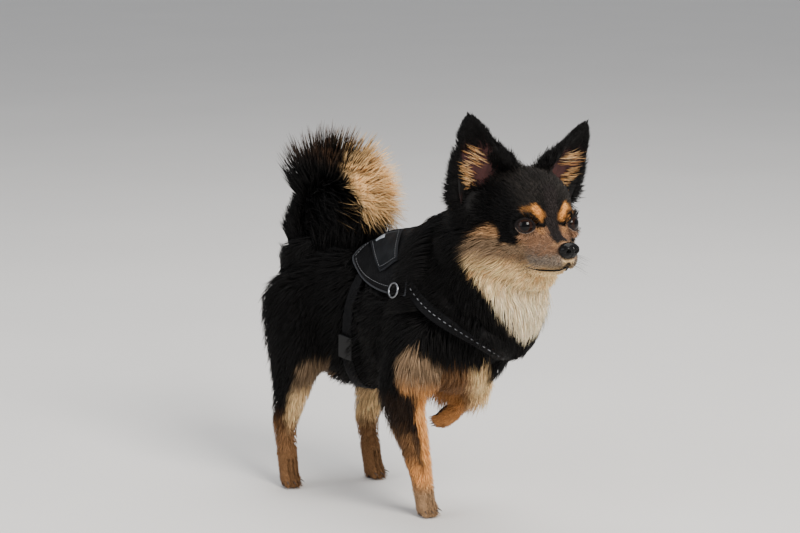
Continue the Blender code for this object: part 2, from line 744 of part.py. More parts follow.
def make_saddle(tree, shown, helpers, look):
    """A panel over the withers, round behind and straight across in front."""
    grid = []
    for step in range(2, SADDLE_STEPS + 2):
        turn = math.radians(90 * min(step / SADDLE_STEPS, 1.0))
        x = SADDLE_WIDEST - (SADDLE_WIDEST - SADDLE_REAR) * math.cos(turn)
        if step > SADDLE_STEPS:
            x = SADDLE_FRONT
        drop = SADDLE_DROP * math.sin(turn)
        grid.append([hit(tree, *round_chest(x, drop * c / 4))[0] for c in range(-4, 5)])
    room_over("saddle", grid, SADDLE_SINK, SADDLE_PROUD, helpers)
    return sheet("saddle", grid, SADDLE_SINK, SADDLE_PROUD, shown, look)


def make_label(side, tree, shown, helpers, look):
    """The plain patch on each flank of the saddle."""
    rear_top, front_top, front_low, rear_low = LABEL_CORNERS
    grid = []
    columns, rows = LABEL_GRID
    for i in range(columns + 1):
        line = []
        for j in range(rows + 1):
            t, u = i / columns, j / rows
            top = [a + (b - a) * t for a, b in zip(rear_top, front_top)]
            low = [a + (b - a) * t for a, b in zip(rear_low, front_low)]
            x, angle = (a + (b - a) * u for a, b in zip(top, low))
            place, normal = hit(tree, *round_chest(x, side * angle))
            line.append(place + normal * (SADDLE_PROUD + GAP))
        grid.append(line)
    name = "label_left" if side > 0 else "label_right"
    room_over(name, grid, 0.0, LABEL_THICKNESS, helpers)
    return sheet(name, grid, 0.0, LABEL_THICKNESS, shown, look)


def strap(name, middle_line, shown, helpers, look):
    """A flat band along places on the coat, given with the way out of the coat at each."""
    grid, wider = [], []
    for n, (place, normal) in enumerate(middle_line):
        ahead = middle_line[min(n + 1, len(middle_line) - 1)][0] - middle_line[max(n - 1, 0)][0]
        across = normal.cross(ahead).normalized()
        grid.append([place + across * STRAP_HALF_WIDTH * c for c in (-1, 0, 1)])
        wider.append([place + across * (STRAP_HALF_WIDTH + COAT_GAP) * c for c in (-1, 0, 1)])
    room_over(name, wider, STRAP_SINK, STRAP_PROUD, helpers)
    return sheet(name, grid, STRAP_SINK, STRAP_PROUD, shown, look)


def belly_place(tree, angle):
    x = BELLY_STRAP_TOP - BELLY_STRAP_LEAN * (abs(angle) - BELLY_STRAP_END) / (180.0 - BELLY_STRAP_END)
    return hit(tree, *round_chest(x, angle))


def chest_place(tree, angle):
    """A place on the chest strap, by its angle from straight ahead, to the dog's left."""
    rise = math.radians(CHEST_STRAP_LOW + CHEST_STRAP_RISE * (abs(angle) / 90.0) ** 0.95)
    turn = math.radians(angle)
    heading = Vector((math.cos(turn) * math.cos(rise), math.sin(turn) * math.cos(rise), math.sin(rise)))
    return hit(tree, CHEST_CORE, heading)


def make_ring(name, place, normal, shown, helpers, look):
    """A ring that lies on the saddle, and the hidden disc that keeps the coat clear of it."""
    centre = place + normal * (SADDLE_PROUD + RING_WIRE + RING_LIFT)
    turn = Matrix.Translation(centre) @ normal.to_track_quat("Z", "X").to_matrix().to_4x4()
    bpy.ops.mesh.primitive_torus_add(
        major_radius=RING_RADIUS, minor_radius=RING_WIRE, major_segments=14, minor_segments=5
    )
    ring = bpy.context.object
    ring.name = ring.data.name = name
    for owner in list(ring.users_collection):
        owner.objects.unlink(ring)
    shown.objects.link(ring)
    ring.data.materials.append(look)
    ring.data.transform(turn)
    smooth_shaded(ring)
    bm = bmesh.new()
    reach = RING_RADIUS + RING_WIRE
    bmesh.ops.create_cone(
        bm, cap_ends=True, segments=14, radius1=reach, radius2=reach, depth=2 * RING_WIRE, matrix=turn
    )
    return helper(name + ROOM_SUFFIX, bm, helpers)


def make_buckle(tree, shown, look):
    """The side-release buckle on the girth, low on the right flank."""
    place, normal = belly_place(tree, -BUCKLE_ANGLE)
    ahead = (belly_place(tree, -BUCKLE_ANGLE - 6)[0] - belly_place(tree, -BUCKLE_ANGLE + 6)[0]).normalized()
    side = normal.cross(ahead).normalized()
    turn = Matrix((side, ahead, side.cross(ahead))).transposed().to_4x4()
    bm = bmesh.new()
    bmesh.ops.create_cube(bm, size=1.0, matrix=Matrix.Diagonal((*BUCKLE_SIZE, 1.0)))
    buckle = new_object("belly_buckle", mesh_of(bm, "buckle"), shown, look)
    buckle.data.transform(Matrix.Translation(place + BUCKLE_RISE * normal) @ turn)
    edge = buckle.modifiers.new("edge", "BEVEL")
    edge.width = BUCKLE_EDGE
    edge.segments = 2
    applied(buckle)
    smooth_shaded(buckle)
    return buckle


def make_harness(tree, shown, helpers, fabric, label_look, metal, plastic):
    """Makes the harness, and returns the solids that the coat keeps clear of."""
    labels = [make_label(side, tree, shown, helpers, label_look) for side in (-1, 1)]
    room = []
    for name, x, angle in RING_PLACES:
        place, normal = hit(tree, *round_chest(x, angle))
        room.append(make_ring(name, place, normal, shown, helpers, metal))
    buckle = make_buckle(tree, shown, plastic)
    saddle = make_saddle(tree, shown, helpers, fabric)
    across = [CHEST_STRAP_REACH * (2 * n / CHEST_STRAP_STEPS - 1) for n in range(CHEST_STRAP_STEPS + 1)]
    chest = strap("chest_strap", [chest_place(tree, a) for a in across], shown, helpers, fabric)
    below = (360 - 2 * BELLY_STRAP_END) / BELLY_STRAP_STEPS
    girth = [BELLY_STRAP_END + below * n for n in range(BELLY_STRAP_STEPS + 1)]
    around = [belly_place(tree, a if a <= 180 else a - 360) for a in girth]
    belly = strap("belly_strap", around, shown, helpers, fabric)
    bed_in(saddle, [room_of(label, helpers) for label in labels], GAP, helpers)
    for piece in (chest, belly):
        bed_in(piece, [buckle, saddle], GAP, helpers)
    for piece in (saddle, chest, belly):
        smooth_shaded(piece)
        room.append(room_of(piece, helpers))
    return [buckle, *room]


def centred(objects):
    """Moves the pieces together so that their box is centred over the origin and stands at z = 0."""
    points = [v.co for obj in objects for v in obj.data.vertices]
    low, high = ([pick(p[i] for p in points) for i in range(3)] for pick in (min, max))
    shift = Matrix.Translation((-(low[0] + high[0]) / 2, -(low[1] + high[1]) / 2, -low[2]))
    for obj in objects:
        obj.data.transform(shift)


def main():
    clear_scene()
    helpers = collection("helpers")
    shown = collection("chihuahua")
    coat = material("coat", (0.030, 0.024, 0.020), 0.85)
    ear_skin = material("ear_coat", (0.10, 0.06, 0.04), 0.85)
    eye_look = material("eye", (0.035, 0.016, 0.008), 0.08)
    nose_look = material("nose_leather", (0.012, 0.011, 0.011), 0.35)
    claw_look = material("claw", (0.035, 0.028, 0.024), 0.40)
    fabric = material("harness_fabric", (0.020, 0.020, 0.022), 0.80)
    label_look = material("label", (0.16, 0.17, 0.18), 0.55)
    metal = material("ring_steel", (0.55, 0.55, 0.56), 0.30, 1.0)
    plastic = material("buckle_plastic", (0.018, 0.018, 0.020), 0.45)

    form = fused("form", all_masses, helpers)
    tree = BVHTree.FromObject(form, bpy.context.evaluated_depsgraph_get())
    flesh = make_flesh(form, helpers, shown, coat)
    head = flesh["head"]
    legs = [flesh[name.replace("_", "leg_")] for name in LEGS]
    bed_in(flesh["trunk"], [*legs, flesh["neck"]], GAP, helpers)
    bed_in(flesh["neck"], [head, *legs[:2]], GAP, helpers)
    for name, leg in zip(LEGS, legs):
        bed_in(leg, [flesh[name.replace("_", "paw_")]], GAP, helpers)
    for side in (-1, 1):
        make_ear(side, head, shown, helpers, ear_skin)
        make_eye(side, head, shown, helpers, eye_look)
    make_nose(head, shown, helpers, nose_look)
    applied(head)
    keep_largest(head)
    for name in LEGS:
        make_claws(name, flesh[name.replace("_", "paw_")], shown, helpers, claw_look)
    tail = fused("tail", add_tail, shown)
    thinned(tail, FACES["tail"])
    tail.data.materials.append(coat)
    room = make_harness(tree, shown, helpers, fabric, label_look, metal, plastic)
    for obj in flesh.values():
        bed_in(obj, [tail, *room], COAT_GAP, helpers)
    for obj in [*flesh.values(), tail]:
        smooth_shaded(obj)
    centred(shown.objects[:])


main()
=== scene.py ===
"""A long-coated chihuahua in a saddle harness: skin, coat, eyes, nose, claws and harness."""

import math

import bmesh
import bpy
import numpy as np
from mathutils import Matrix, Vector
from mathutils.bvhtree import BVHTree


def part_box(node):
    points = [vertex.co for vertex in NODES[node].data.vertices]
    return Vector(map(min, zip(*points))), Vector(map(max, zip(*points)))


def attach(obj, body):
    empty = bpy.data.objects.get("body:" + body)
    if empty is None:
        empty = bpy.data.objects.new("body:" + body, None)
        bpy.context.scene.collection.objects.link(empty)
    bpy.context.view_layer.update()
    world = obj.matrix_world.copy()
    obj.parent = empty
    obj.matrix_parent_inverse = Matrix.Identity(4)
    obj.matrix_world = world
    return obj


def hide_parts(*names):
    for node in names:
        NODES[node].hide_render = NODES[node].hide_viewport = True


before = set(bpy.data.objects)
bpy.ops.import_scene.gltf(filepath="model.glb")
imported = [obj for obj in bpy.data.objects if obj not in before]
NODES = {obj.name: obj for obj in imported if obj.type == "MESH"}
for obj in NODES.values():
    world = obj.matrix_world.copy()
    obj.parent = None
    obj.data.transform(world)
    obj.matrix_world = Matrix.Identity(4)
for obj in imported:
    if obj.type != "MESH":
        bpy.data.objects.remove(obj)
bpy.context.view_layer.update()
rng = np.random.default_rng(11)

BODY = "root"
LEG_NODES = ["foreleg_right", "foreleg_left", "hindleg_right", "hindleg_left"]
PAW_NODES = ["forepaw_right", "forepaw_left", "hindpaw_right", "hindpaw_left"]
FLESH = ["head", "neck", "trunk", *LEG_NODES, *PAW_NODES]
EYES = {-1: "eye_right", 1: "eye_left"}
SIDE_NAMES = {-1: "right", 1: "left"}

# ---- The head's frame: X to the nose, Y to its left, from the middle of the skull ---------------
EYE_AT = np.array([0.0285, 0.0190, -0.0040])
EYE_RADIUS = 0.0083
TURN = (
    Matrix.Rotation(math.radians(-16.5), 3, "Z")
    @ Matrix.Rotation(math.radians(-2.5), 3, "Y")
    @ Matrix.Rotation(math.radians(-1.5), 3, "X")
)
HEAD_TURN = np.array(TURN)


def box_middle(node):
    low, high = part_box(node)
    return np.array((low + high) / 2)


EYE_CENTRES = {side: box_middle(name) for side, name in EYES.items()}
HEAD_AT = (EYE_CENTRES[-1] + EYE_CENTRES[1]) / 2 - HEAD_TURN @ np.array([EYE_AT[0], 0.0, EYE_AT[2]])
SHIFT = HEAD_AT - np.array([0.1705, 0.0, 0.2643])  # from the drawing's origin to the frame's


def to_head(points):
    return (points - HEAD_AT) @ HEAD_TURN


def from_head(points):
    return np.asarray(points) @ HEAD_TURN.T + HEAD_AT


def from_head_way(ways):
    return np.asarray(ways) @ HEAD_TURN.T


def placed(*xyz):
    """A place given from the drawing's origin."""
    return np.array(xyz) + SHIFT


# ---- Small tools --------------------------------------------------------------------------------
def unit(v):
    return v / np.maximum(np.linalg.norm(v, axis=-1, keepdims=True), 1e-12)


def ramp(x, low, high):
    """0 below low, 1 above high, smooth between; low may be the greater."""
    t = np.clip((x - low) / (high - low), 0.0, 1.0)
    return t * t * (3 - 2 * t)


def mix(a, b, share):
    share = np.asarray(share)[..., None]
    return np.asarray(a) * (1 - share) + np.asarray(b) * share


def srgb(red, green, blue):
    c = np.array([red, green, blue]) / 255.0
    return np.where(c <= 0.04045, c / 12.92, ((c + 0.055) / 1.055) ** 2.4)


def wobble(points, scale, seed=0):
    """Smooth noise about 0, with features of about this size in metres."""
    total = np.zeros(len(points))
    source = np.random.default_rng(1000 + seed)
    for octave in range(3):
        for _ in range(3):
            wave = source.normal(size=3)
            wave *= 2 * math.pi / scale * 1.9**octave / np.linalg.norm(wave)
            total += np.sin(points @ wave + source.uniform(0, 6.28)) / 1.7**octave
    return total / 4.0


def arrays(mesh):
    v = np.empty(len(mesh.vertices) * 3)
    mesh.vertices.foreach_get("co", v)
    mesh.calc_loop_triangles()
    t = np.empty(len(mesh.loop_triangles) * 3, np.int32)
    mesh.loop_triangles.foreach_get("vertices", t)
    return v.reshape(-1, 3), t.reshape(-1, 3)


def edges_of(mesh):
    e = np.empty(len(mesh.edges) * 2, np.int32)
    mesh.edges.foreach_get("vertices", e)
    return e.reshape(-1, 2)


def vertex_normals(mesh):
    n = np.empty(len(mesh.vertices) * 3)
    mesh.vertices.foreach_get("normal", n)
    return n.reshape(-1, 3)


def set_places(mesh, places):
    mesh.vertices.foreach_set("co", np.ascontiguousarray(places).ravel())
    mesh.update()


def tree_of(v, t):
    return BVHTree.FromPolygons(v.tolist(), t.tolist())


def averaged(values, edges, passes):
    """Values at the vertices, each moved half way to its neighbours' mean in each pass."""
    count = len(values)
    flat = values.reshape(count, -1).astype(float)
    a, b = edges[:, 0], edges[:, 1]
    degree = np.bincount(a, minlength=count) + np.bincount(b, minlength=count)
    degree = np.maximum(degree, 1)[:, None]
    for _ in range(passes):
        total = np.stack([np.bincount(a, c[b], count) + np.bincount(b, c[a], count) for c in flat.T], 1)
        flat = 0.5 * flat + 0.5 * total / degree
    return flat.reshape(values.shape)


def nearest(tree, points):
    """Places on the tree's surface, normals and face numbers."""
    places, normals, faces = [], [], []
    for p in points.tolist():
        place, normal, face, _ = tree.find_nearest(p)
        places.append(place[:])
        normals.append(normal[:])
        faces.append(face)
    return np.array(places), np.array(normals), np.array(faces)


def cast(tree, starts, ways, reach):
    """Distances along the rays, and reach where nothing is hit."""
    out = np.full(len(starts), reach)
    for n, (start, way) in enumerate(zip(starts.tolist(), ways.tolist())):
        distance = tree.ray_cast(start, way, reach)[3]
        if distance is not None:
            out[n] = distance
    return out


def welded(node):
    bm = bmesh.new()
    bm.from_mesh(NODES[node].data)
    bmesh.ops.remove_doubles(bm, verts=bm.verts, dist=1e-6)
    bm.normal_update()
    return bm


def new_piece(name, mesh, material, slot, *replaced):
    """A piece of the visual model that rides on the body and stands for the nodes it replaces."""
    obj = bpy.data.objects.new(name, mesh)
    mesh.name = name
    mesh.materials.append(material)
    bpy.context.scene.collection.objects.link(obj)
    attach(obj, BODY)
    if replaced:
        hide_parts(*replaced)
    return obj


def applied(mesh, *modifiers):
    """A mesh with modifiers applied, each given as its kind and a dict of its settings."""
    obj = bpy.data.objects.new("work", mesh)
    bpy.context.scene.collection.objects.link(obj)
    for kind, settings in modifiers:
        modifier = obj.modifiers.new(kind.lower(), kind)
        for key, value in settings.items():
            setattr(modifier, key, value)
    bpy.context.view_layer.update()
    graph = bpy.context.evaluated_depsgraph_get()
    made = bpy.data.meshes.new_from_object(obj.evaluated_get(graph))
    bpy.data.objects.remove(obj)
    return made


def mesh_from(v, faces):
    mesh = bpy.data.meshes.new("mesh")
    mesh.from_pydata(np.asarray(v).tolist(), [], [list(map(int, f)) for f in faces])
    mesh.update()
    return mesh


def from_bmesh(bm):
    mesh = bpy.data.meshes.new("mesh")
    bm.to_mesh(mesh)
    bm.free()
    return mesh


def smooth(mesh):
    mesh.shade_smooth()
    return mesh


def joined(meshes):
    bm = bmesh.new()
    for mesh in meshes:
        bm.from_mesh(mesh)
    return from_bmesh(bm)


def paint(mesh, colours):
    """Colours at the vertices, for the materials that read them."""
    layer = mesh.color_attributes.new("coat", "FLOAT_COLOR", "POINT")
    rgba = np.ones((len(colours), 4), np.float32)
    rgba[:, :3] = colours
    layer.data.foreach_set("color", rgba.ravel())


def set_map(mesh, name, pairs):
    """A UV map with one pair for each vertex."""
    loops = np.empty(len(mesh.loops), np.int32)
    mesh.loops.foreach_get("vertex_index", loops)
    layer = mesh.uv_layers.new(name=name)
    layer.uv.foreach_set("vector", pairs[loops].astype(np.float32).ravel())


def stacked(meshes):
    """Several meshes' vertices and triangles as one set, and how many triangles each one has."""
    v, t, counts, start = [], [], [], 0
    for mesh in meshes:
        places, tris = arrays(mesh)
        v.append(places)
        t.append(tris + start)
        counts.append(len(tris))
        start += len(places)
    return np.concatenate(v), np.concatenate(t), counts


def along_line(points):
    """How far along a line each of its points is."""
    steps = np.linalg.norm(np.diff(points, axis=0), axis=1)
    return np.concatenate([[0], np.cumsum(steps)])


def tube(path, radii, sides=8, closed=False):
    """A round tube along a path; a single radius or one for each point."""
    path = np.asarray(path, float)
    count = len(path)
    radii = np.broadcast_to(np.asarray(radii, float), (count,))
    if closed:
        ahead = np.roll(path, -1, 0) - np.roll(path, 1, 0)
    else:
        ahead = np.gradient(path, axis=0)
    ahead = unit(ahead)
    side = unit(np.cross(ahead[0], [0.3, 0.2, 1.0]))
    rings = []
    for n in range(count):
        side = unit(side - ahead[n] * (side @ ahead[n]))
        up = np.cross(ahead[n], side)
        turn = np.arange(sides) * 2 * math.pi / sides
        rings.append(path[n] + radii[n] * (np.cos(turn)[:, None] * side + np.sin(turn)[:, None] * up))
    v = np.concatenate(rings)
    faces = []
    for n in range(count if closed else count - 1):
        m = (n + 1) % count
        shift = 0  # a closed tube's last ring meets its first one without a twist
        if closed and m == 0:
            shift = int(np.argmin(((rings[0] - rings[-1][0]) ** 2).sum(1)))
        for k in range(sides):
            j = (k + 1) % sides
            faces.append(
                (n * sides + k, n * sides + j,
                 m * sides + (j + shift) % sides, m * sides + (k + shift) % sides)
            )
    if not closed:
        faces.append(tuple(range(sides))[::-1])
        faces.append(tuple(range((count - 1) * sides, count * sides)))
    return mesh_from(v, faces)


def curve_through(points, steps, closed=False):
    """A smooth line through points, evenly spaced."""
    points = np.asarray(points, float)
    count = len(points)
    out = []
    spans = range(count if closed else count - 1)
    for n in spans:
        if closed:
            a, b, c, d = (points[(n + k) % count] for k in (-1, 0, 1, 2))
        else:
            a, b, c, d = (points[min(max(n + k, 0), count - 1)] for k in (-1, 0, 1, 2))
        for t in np.linspace(0, 1, 8, endpoint=False):
            out.append(
                0.5 * (2 * b + (c - a) * t + (2 * a - 5 * b + 4 * c - d) * t**2
                       + (3 * b - a - 3 * c + d) * t**3)
            )
    if closed:
        out.append(out[0])
    else:
        out.append(points[-1])
    out = np.array(out)
    along = along_line(out)
    where = np.linspace(0, along[-1], steps + 1)
    even = np.stack([np.interp(where, along, out[:, k]) for k in range(3)], 1)
    return even[:-1] if closed else even


# ---- Materials ----------------------------------------------------------------------------------
class Look:
    """A material with one Principled shader, and short ways to wire nodes."""

    def __init__(self, name, **sockets):
        self.material = bpy.data.materials.new(name)
        self.material.use_nodes = True
        self.tree = self.material.node_tree
        self.shader = self.tree.nodes["Principled BSDF"]
        for key, value in sockets.items():
            self.shader.inputs[key.replace("_", " ")].default_value = value

    def node(self, kind, inputs=None, **settings):
        made = self.tree.nodes.new("ShaderNode" + kind)
        for key, value in settings.items():
            setattr(made, key, value)
        for key, value in (inputs or {}).items():
            self.link(value, made.inputs[key])
        return made

    def link(self, value, socket):
        if isinstance(value, bpy.types.NodeSocket):
            self.tree.links.new(value, socket)
        elif isinstance(value, np.ndarray):
            socket.default_value = (*map(float, value), 1.0)
        else:
            socket.default_value = value

    def math(self, operation, a, b):
        return self.node("Math", {0: a, 1: b}, operation=operation).outputs[0]

    def spread(self, value, low, high, to_low, to_high):
        return self.node("MapRange", {0: value, 1: low, 2: high, 3: to_low, 4: to_high}).outputs[0]

    def blend(self, share, a, b, kind="MIX"):
        made = self.node("Mix", data_type="RGBA", blend_type=kind)
        self.link(share, made.inputs["Factor"])
        self.link(a, made.inputs[6])
        self.link(b, made.inputs[7])
        return made.outputs[2]

    def stretched(self, source, scale):
        return self.node("Mapping", {"Vector": source, "Scale": scale}).outputs[0]

    def places(self):
        return self.node("TexCoord").outputs["Object"]

    def uv(self, name):
        return self.node("UVMap", uv_map=name).outputs[0]

    def noise(self, vector, scale, detail=3.0, rough=0.55):
        inputs = {"Vector": vector, "Scale": scale, "Detail": detail, "Roughness": rough}
        return self.node("TexNoise", inputs).outputs["Fac"]

    def wave(self, vector, scale, axis="X"):
        return self.node("TexWave", {"Vector": vector, "Scale": scale}, bands_direction=axis).outputs["Fac"]

    def colour(self, value):
        self.link(value, self.shader.inputs["Base Color"])

    def painted(self, shade):
        """Base Color from the colours painted on the mesh, brighter or darker by shade."""
        tone = self.node("Attribute", attribute_name="coat").outputs["Color"]
        self.colour(self.node("VectorMath", {0: tone, "Scale": shade}, operation="SCALE").outputs[0])

    def rough(self, value):
        self.link(value, self.shader.inputs["Roughness"])

    def bump(self, height, distance, strength=1.0):
        made = self.node("Bump", {"Strength": strength, "Distance": distance, "Height": height})
        self.link(made.outputs[0], self.shader.inputs["Normal"])


def coat_look():
    look = Look("coat_hair", Specular_IOR_Level=0.11)
    streak = look.noise(look.stretched(look.uv("Strand"), (7.0, 0.8, 1.0)), 1.0, 2.0)
    look.painted(look.spread(streak, 0.3, 0.7, 0.62, 1.34))
    look.rough(look.spread(streak, 0.3, 0.7, 0.62, 0.46))
    look.bump(streak, 0.0002, 0.5)
    return look.material


def skin_look():
    look = Look("skin_under_coat", Specular_IOR_Level=0.12)
    grain = look.noise(look.places(), 900.0, 4.0, 0.65)
    broad = look.noise(look.places(), 140.0, 2.0)
    fine_shade = look.spread(grain, 0.3, 0.7, 0.62, 1.25)
    look.painted(look.math("MULTIPLY", fine_shade, look.spread(broad, 0.3, 0.7, 0.85, 1.15)))
    look.rough(look.spread(grain, 0.3, 0.7, 0.8, 0.6))
    look.bump(grain, 0.0006, 0.8)
    return look.material


def leather_look(name, colour, pebble, roughness):
    look = Look(name, Specular_IOR_Level=0.04, Coat_Weight=0.26, Coat_Roughness=0.12)
    cells = look.node("TexVoronoi", {"Vector": look.places(), "Scale": pebble}, feature="DISTANCE_TO_EDGE")
    edge = look.spread(cells.outputs["Distance"], 0.0, 0.35, 0.0, 1.0)
    grain = look.noise(look.places(), pebble * 2.5)
    # Painted shade: darker in the crevices between the pebbles, lighter on their tops.
    look.colour(look.blend(edge, colour * 0.45, colour * 1.3))
    look.rough(look.spread(grain, 0.3, 0.7, roughness + 0.1, roughness - 0.06))
    look.bump(edge, 0.00014, 0.4)
    return look.material


def eye_look():
    look = Look("eye_wet", Specular_IOR_Level=0.06, Coat_Weight=0.55, Coat_Roughness=0.01, Coat_IOR=1.28)
    ring = look.node("Attribute", attribute_name="ring").outputs["Fac"]
    streaks = look.noise(look.stretched(look.uv("Iris"), (60.0, 3.0, 1.0)), 1.0, 3.0)
    iris = look.blend(look.spread(streaks, 0.35, 0.65, 0.0, 1.0), srgb(18, 9, 6), srgb(38, 20, 11))
    sclera = look.blend(look.noise(look.places(), 500.0), srgb(30, 20, 17), srgb(52, 38, 33))
    inner = look.blend(look.spread(ring, 0.27, 0.30, 0.0, 1.0), srgb(3, 3, 4), iris)
    limbus = look.blend(look.spread(ring, 0.43, 0.53, 0.0, 1.0), inner, srgb(9, 6, 5))
    look.colour(look.blend(look.spread(ring, 0.62, 0.72, 0.0, 1.0), limbus, sclera))
    look.rough(look.spread(streaks, 0.2, 0.8, 0.16, 0.10))
    return look.material


def horn_look():
    look = Look("claw_horn", Specular_IOR_Level=0.5, Coat_Weight=0.2, Coat_Roughness=0.2)
    grain = look.noise(look.stretched(look.places(), (1.0, 1.0, 0.3)), 1800.0)
    look.colour(look.blend(grain, srgb(26, 20, 17), srgb(84, 68, 56)))
    look.rough(look.spread(grain, 0.3, 0.7, 0.42, 0.3))
    look.bump(grain, 0.00008, 0.6)
    return look.material


def ear_look():
    look = Look("ear_skin", Specular_IOR_Level=0.15, Subsurface_Weight=0.12, Subsurface_Scale=0.002)
    grain = look.noise(look.places(), 1100.0, 4.0)
    veins = look.noise(look.stretched(look.places(), (1.0, 1.0, 0.25)), 260.0, 3.0)
    fine_shade = look.spread(grain, 0.3, 0.7, 0.75, 1.2)
    look.painted(look.math("MULTIPLY", fine_shade, look.spread(veins, 0.3, 0.7, 0.7, 1.25)))
    look.rough(look.spread(grain, 0.3, 0.7, 0.65, 0.48))
    look.bump(veins, 0.0004, 0.5)
    return look.material


WAVE_PER_METRE = 0.314  # a Wave texture's scale for one band a metre


def cloth_look(name, colour, pitch, worn, roughness=0.78):
    """Woven fabric: threads over and under on a map in metres, with paler wear."""
    look = Look(name, Specular_IOR_Level=0.07, Sheen_Weight=0.01, Sheen_Roughness=0.45)
    weave = look.uv("Weave")
    scale = WAVE_PER_METRE / pitch
    warp, weft = look.wave(weave, scale, "X"), look.wave(weave, scale, "Y")
    over = look.wave(weave, scale / 2, "DIAGONAL")
    threads = look.blend(over, warp, weft)
    height = look.node("RGBToBW", {0: threads}).outputs[0]
    soil = look.noise(look.places(), 70.0, 4.0)
    fluff = look.noise(look.places(), 1500.0, 2.0)
    # Painted shade and highlight: the threads' low parts darker, their crowns lighter.
    base = look.blend(look.spread(height, 0.1, 0.9, 0.0, 1.0), colour * 0.45, colour * 1.25)
    aged = look.blend(look.spread(soil, 0.45, 0.75, 0.0, 0.55), base, worn)
    look.colour(look.blend(look.spread(fluff, 0.62, 0.8, 0.0, 0.5), aged, worn * 1.4))
    look.rough(look.spread(soil, 0.3, 0.7, roughness + 0.08, roughness - 0.1))
    look.bump(height, 0.00022, 0.85)
    return look.material


def piping_look():
    look = Look("piping_cord", Specular_IOR_Level=0.2, Sheen_Weight=0.05, Sheen_Roughness=0.4)
    twist = look.wave(look.places(), 420.0, "DIAGONAL")
    soil = look.noise(look.places(), 120.0)
    # Painted shade and highlight along the cord's twist: darker in its grooves, lighter on its ridges.
    base = look.blend(twist, srgb(22, 24, 27), srgb(48, 51, 56))
    look.colour(look.blend(look.spread(soil, 0.45, 0.8, 0.0, 0.6), base, srgb(48, 48, 50)))
    look.rough(look.spread(soil, 0.3, 0.7, 0.5, 0.66))
    look.bump(twist, 0.00015, 0.6)
    return look.material


def steel_look():
    look = Look("ring_steel", Metallic=1.0)
    brush = look.noise(look.stretched(look.places(), (1.0, 1.0, 6.0)), 900.0)
    wear = look.noise(look.places(), 260.0)
    look.colour(look.blend(look.spread(wear, 0.4, 0.7, 0.0, 0.5), srgb(136, 138, 142), srgb(78, 77, 76)))
    look.rough(look.spread(brush, 0.3, 0.7, 0.2, 0.36))
    look.bump(brush, 0.00002, 0.5)
    return look.material


def plastic_look():
    look = Look("buckle_plastic", Specular_IOR_Level=0.2)
    grain = look.noise(look.places(), 2600.0, 2.0)
    scuff = look.noise(look.stretched(look.places(), (1.0, 3.0, 1.0)), 320.0)
    look.colour(look.blend(look.spread(scuff, 0.55, 0.75, 0.0, 0.5), srgb(11, 11, 12), srgb(28, 28, 30)))
    look.rough(look.spread(scuff, 0.3, 0.7, 0.38, 0.52))
    look.bump(grain, 0.00004, 0.5)
    return look.material


def whisker_look():
    look = Look("whisker", Specular_IOR_Level=0.5)
    grain = look.noise(look.places(), 700.0)
    look.colour(look.blend(grain, srgb(28, 24, 23), srgb(66, 58, 54)))
    look.rough(look.spread(grain, 0.3, 0.7, 0.35, 0.5))
    return look.material


def thread_look():
    look = Look("thread", Specular_IOR_Level=0.4)
    twist = look.wave(look.places(), 900.0, "DIAGONAL")
    # Painted shade and highlight along the thread's twist.
    look.colour(look.blend(twist, srgb(70, 72, 76), srgb(126, 128, 132)))
    look.rough(look.spread(twist, 0.0, 1.0, 0.45, 0.6))
    return look.material


# ---- Markings, shared by the skin and the coat ----------------------------------------------------
BLACK = srgb(11, 10, 10)
WARM_BLACK = srgb(28, 21, 18)
ORANGE = srgb(234, 160, 84)
TAN = srgb(186, 142, 99)
BRIGHT_TAN = srgb(228, 160, 94)
BROWN = srgb(116, 80, 50)
GREY_TAN = srgb(152, 126, 98)
CREAM = srgb(240, 203, 150)
WHITE = srgb(250, 226, 186)
MUZZLE_GREY = srgb(130, 117, 103)
MUZZLE_BROWN = srgb(128, 96, 72)
BRIDGE = srgb(40, 35, 34)
# painted sheen: the grey that stands in for the highlight on the crown's black hair
CROWN_SHEEN = srgb(60, 55, 51)
# painted highlight on the wet edge of the lower lid
LID_HIGHLIGHT = srgb(168, 146, 130)
LIP = srgb(24, 18, 18)
PAD = srgb(40, 33, 33)
EAR_SKIN = srgb(58, 33, 32)
TAIL_CREAM = srgb(232, 186, 122)

TAIL_PATH = SHIFT + np.array(  # from the rump to the tip
    [[-0.082, 0.0, 0.176], [-0.090, 0.0, 0.196], [-0.096, 0.0, 0.220], [-0.093, 0.0, 0.244],
     [-0.080, 0.0, 0.262], [-0.060, 0.0, 0.270], [-0.040, 0.0, 0.266], [-0.026, 0.0, 0.254]]
)
TAIL_CURL = placed(-0.078, 0.0, 0.240)

BIB_WIDTH = np.array(  # height, half the pale bib's width
    [[0.146, -0.006], [0.1575, 0.000], [0.1685, 0.018], [0.180, 0.0275],
     [0.192, 0.032], [0.203, 0.035], [0.222, 0.040]]
)
BIB_REAR = np.array(  # height, X behind which the neck is black
    [[0.155, 0.1050], [0.1685, 0.1045], [0.180, 0.1040], [0.192, 0.1015],
     [0.2026, 0.0965], [0.2103, 0.0870], [0.2172, 0.0800], [0.2273, 0.0745]]
)
CHEEK_REAR = np.array(  # in the head's frame: height, X behind which the cheek is black
    [[-0.107, -0.005], [-0.0964, -0.0015], [-0.0855, 0.0], [-0.0733, -0.001], [-0.0624, -0.005],
     [-0.0545, -0.013], [-0.042, -0.026], [-0.032, -0.0255],
     [-0.025, -0.023], [-0.0136, -0.014], [-0.007, -0.007]]
)
CHEEK_TOP = np.array(  # X, height above which the face is black
    [[-0.03, -0.004], [0.006, -0.006], [0.0100, -0.012],
     [0.0135, -0.0195], [0.026, -0.0200], [0.0305, -0.0150],
     [0.0335, -0.0085], [0.038, -0.0040], [0.048, -0.0020], [0.070, -0.002]]
)


def segment_distance(points, a, b):
    a, b = np.asarray(a), np.asarray(b)
    t = np.clip((points - a) @ (b - a) / ((b - a) @ (b - a)), 0, 1)
    return np.linalg.norm(points - a - t[:, None] * (b - a), axis=1)


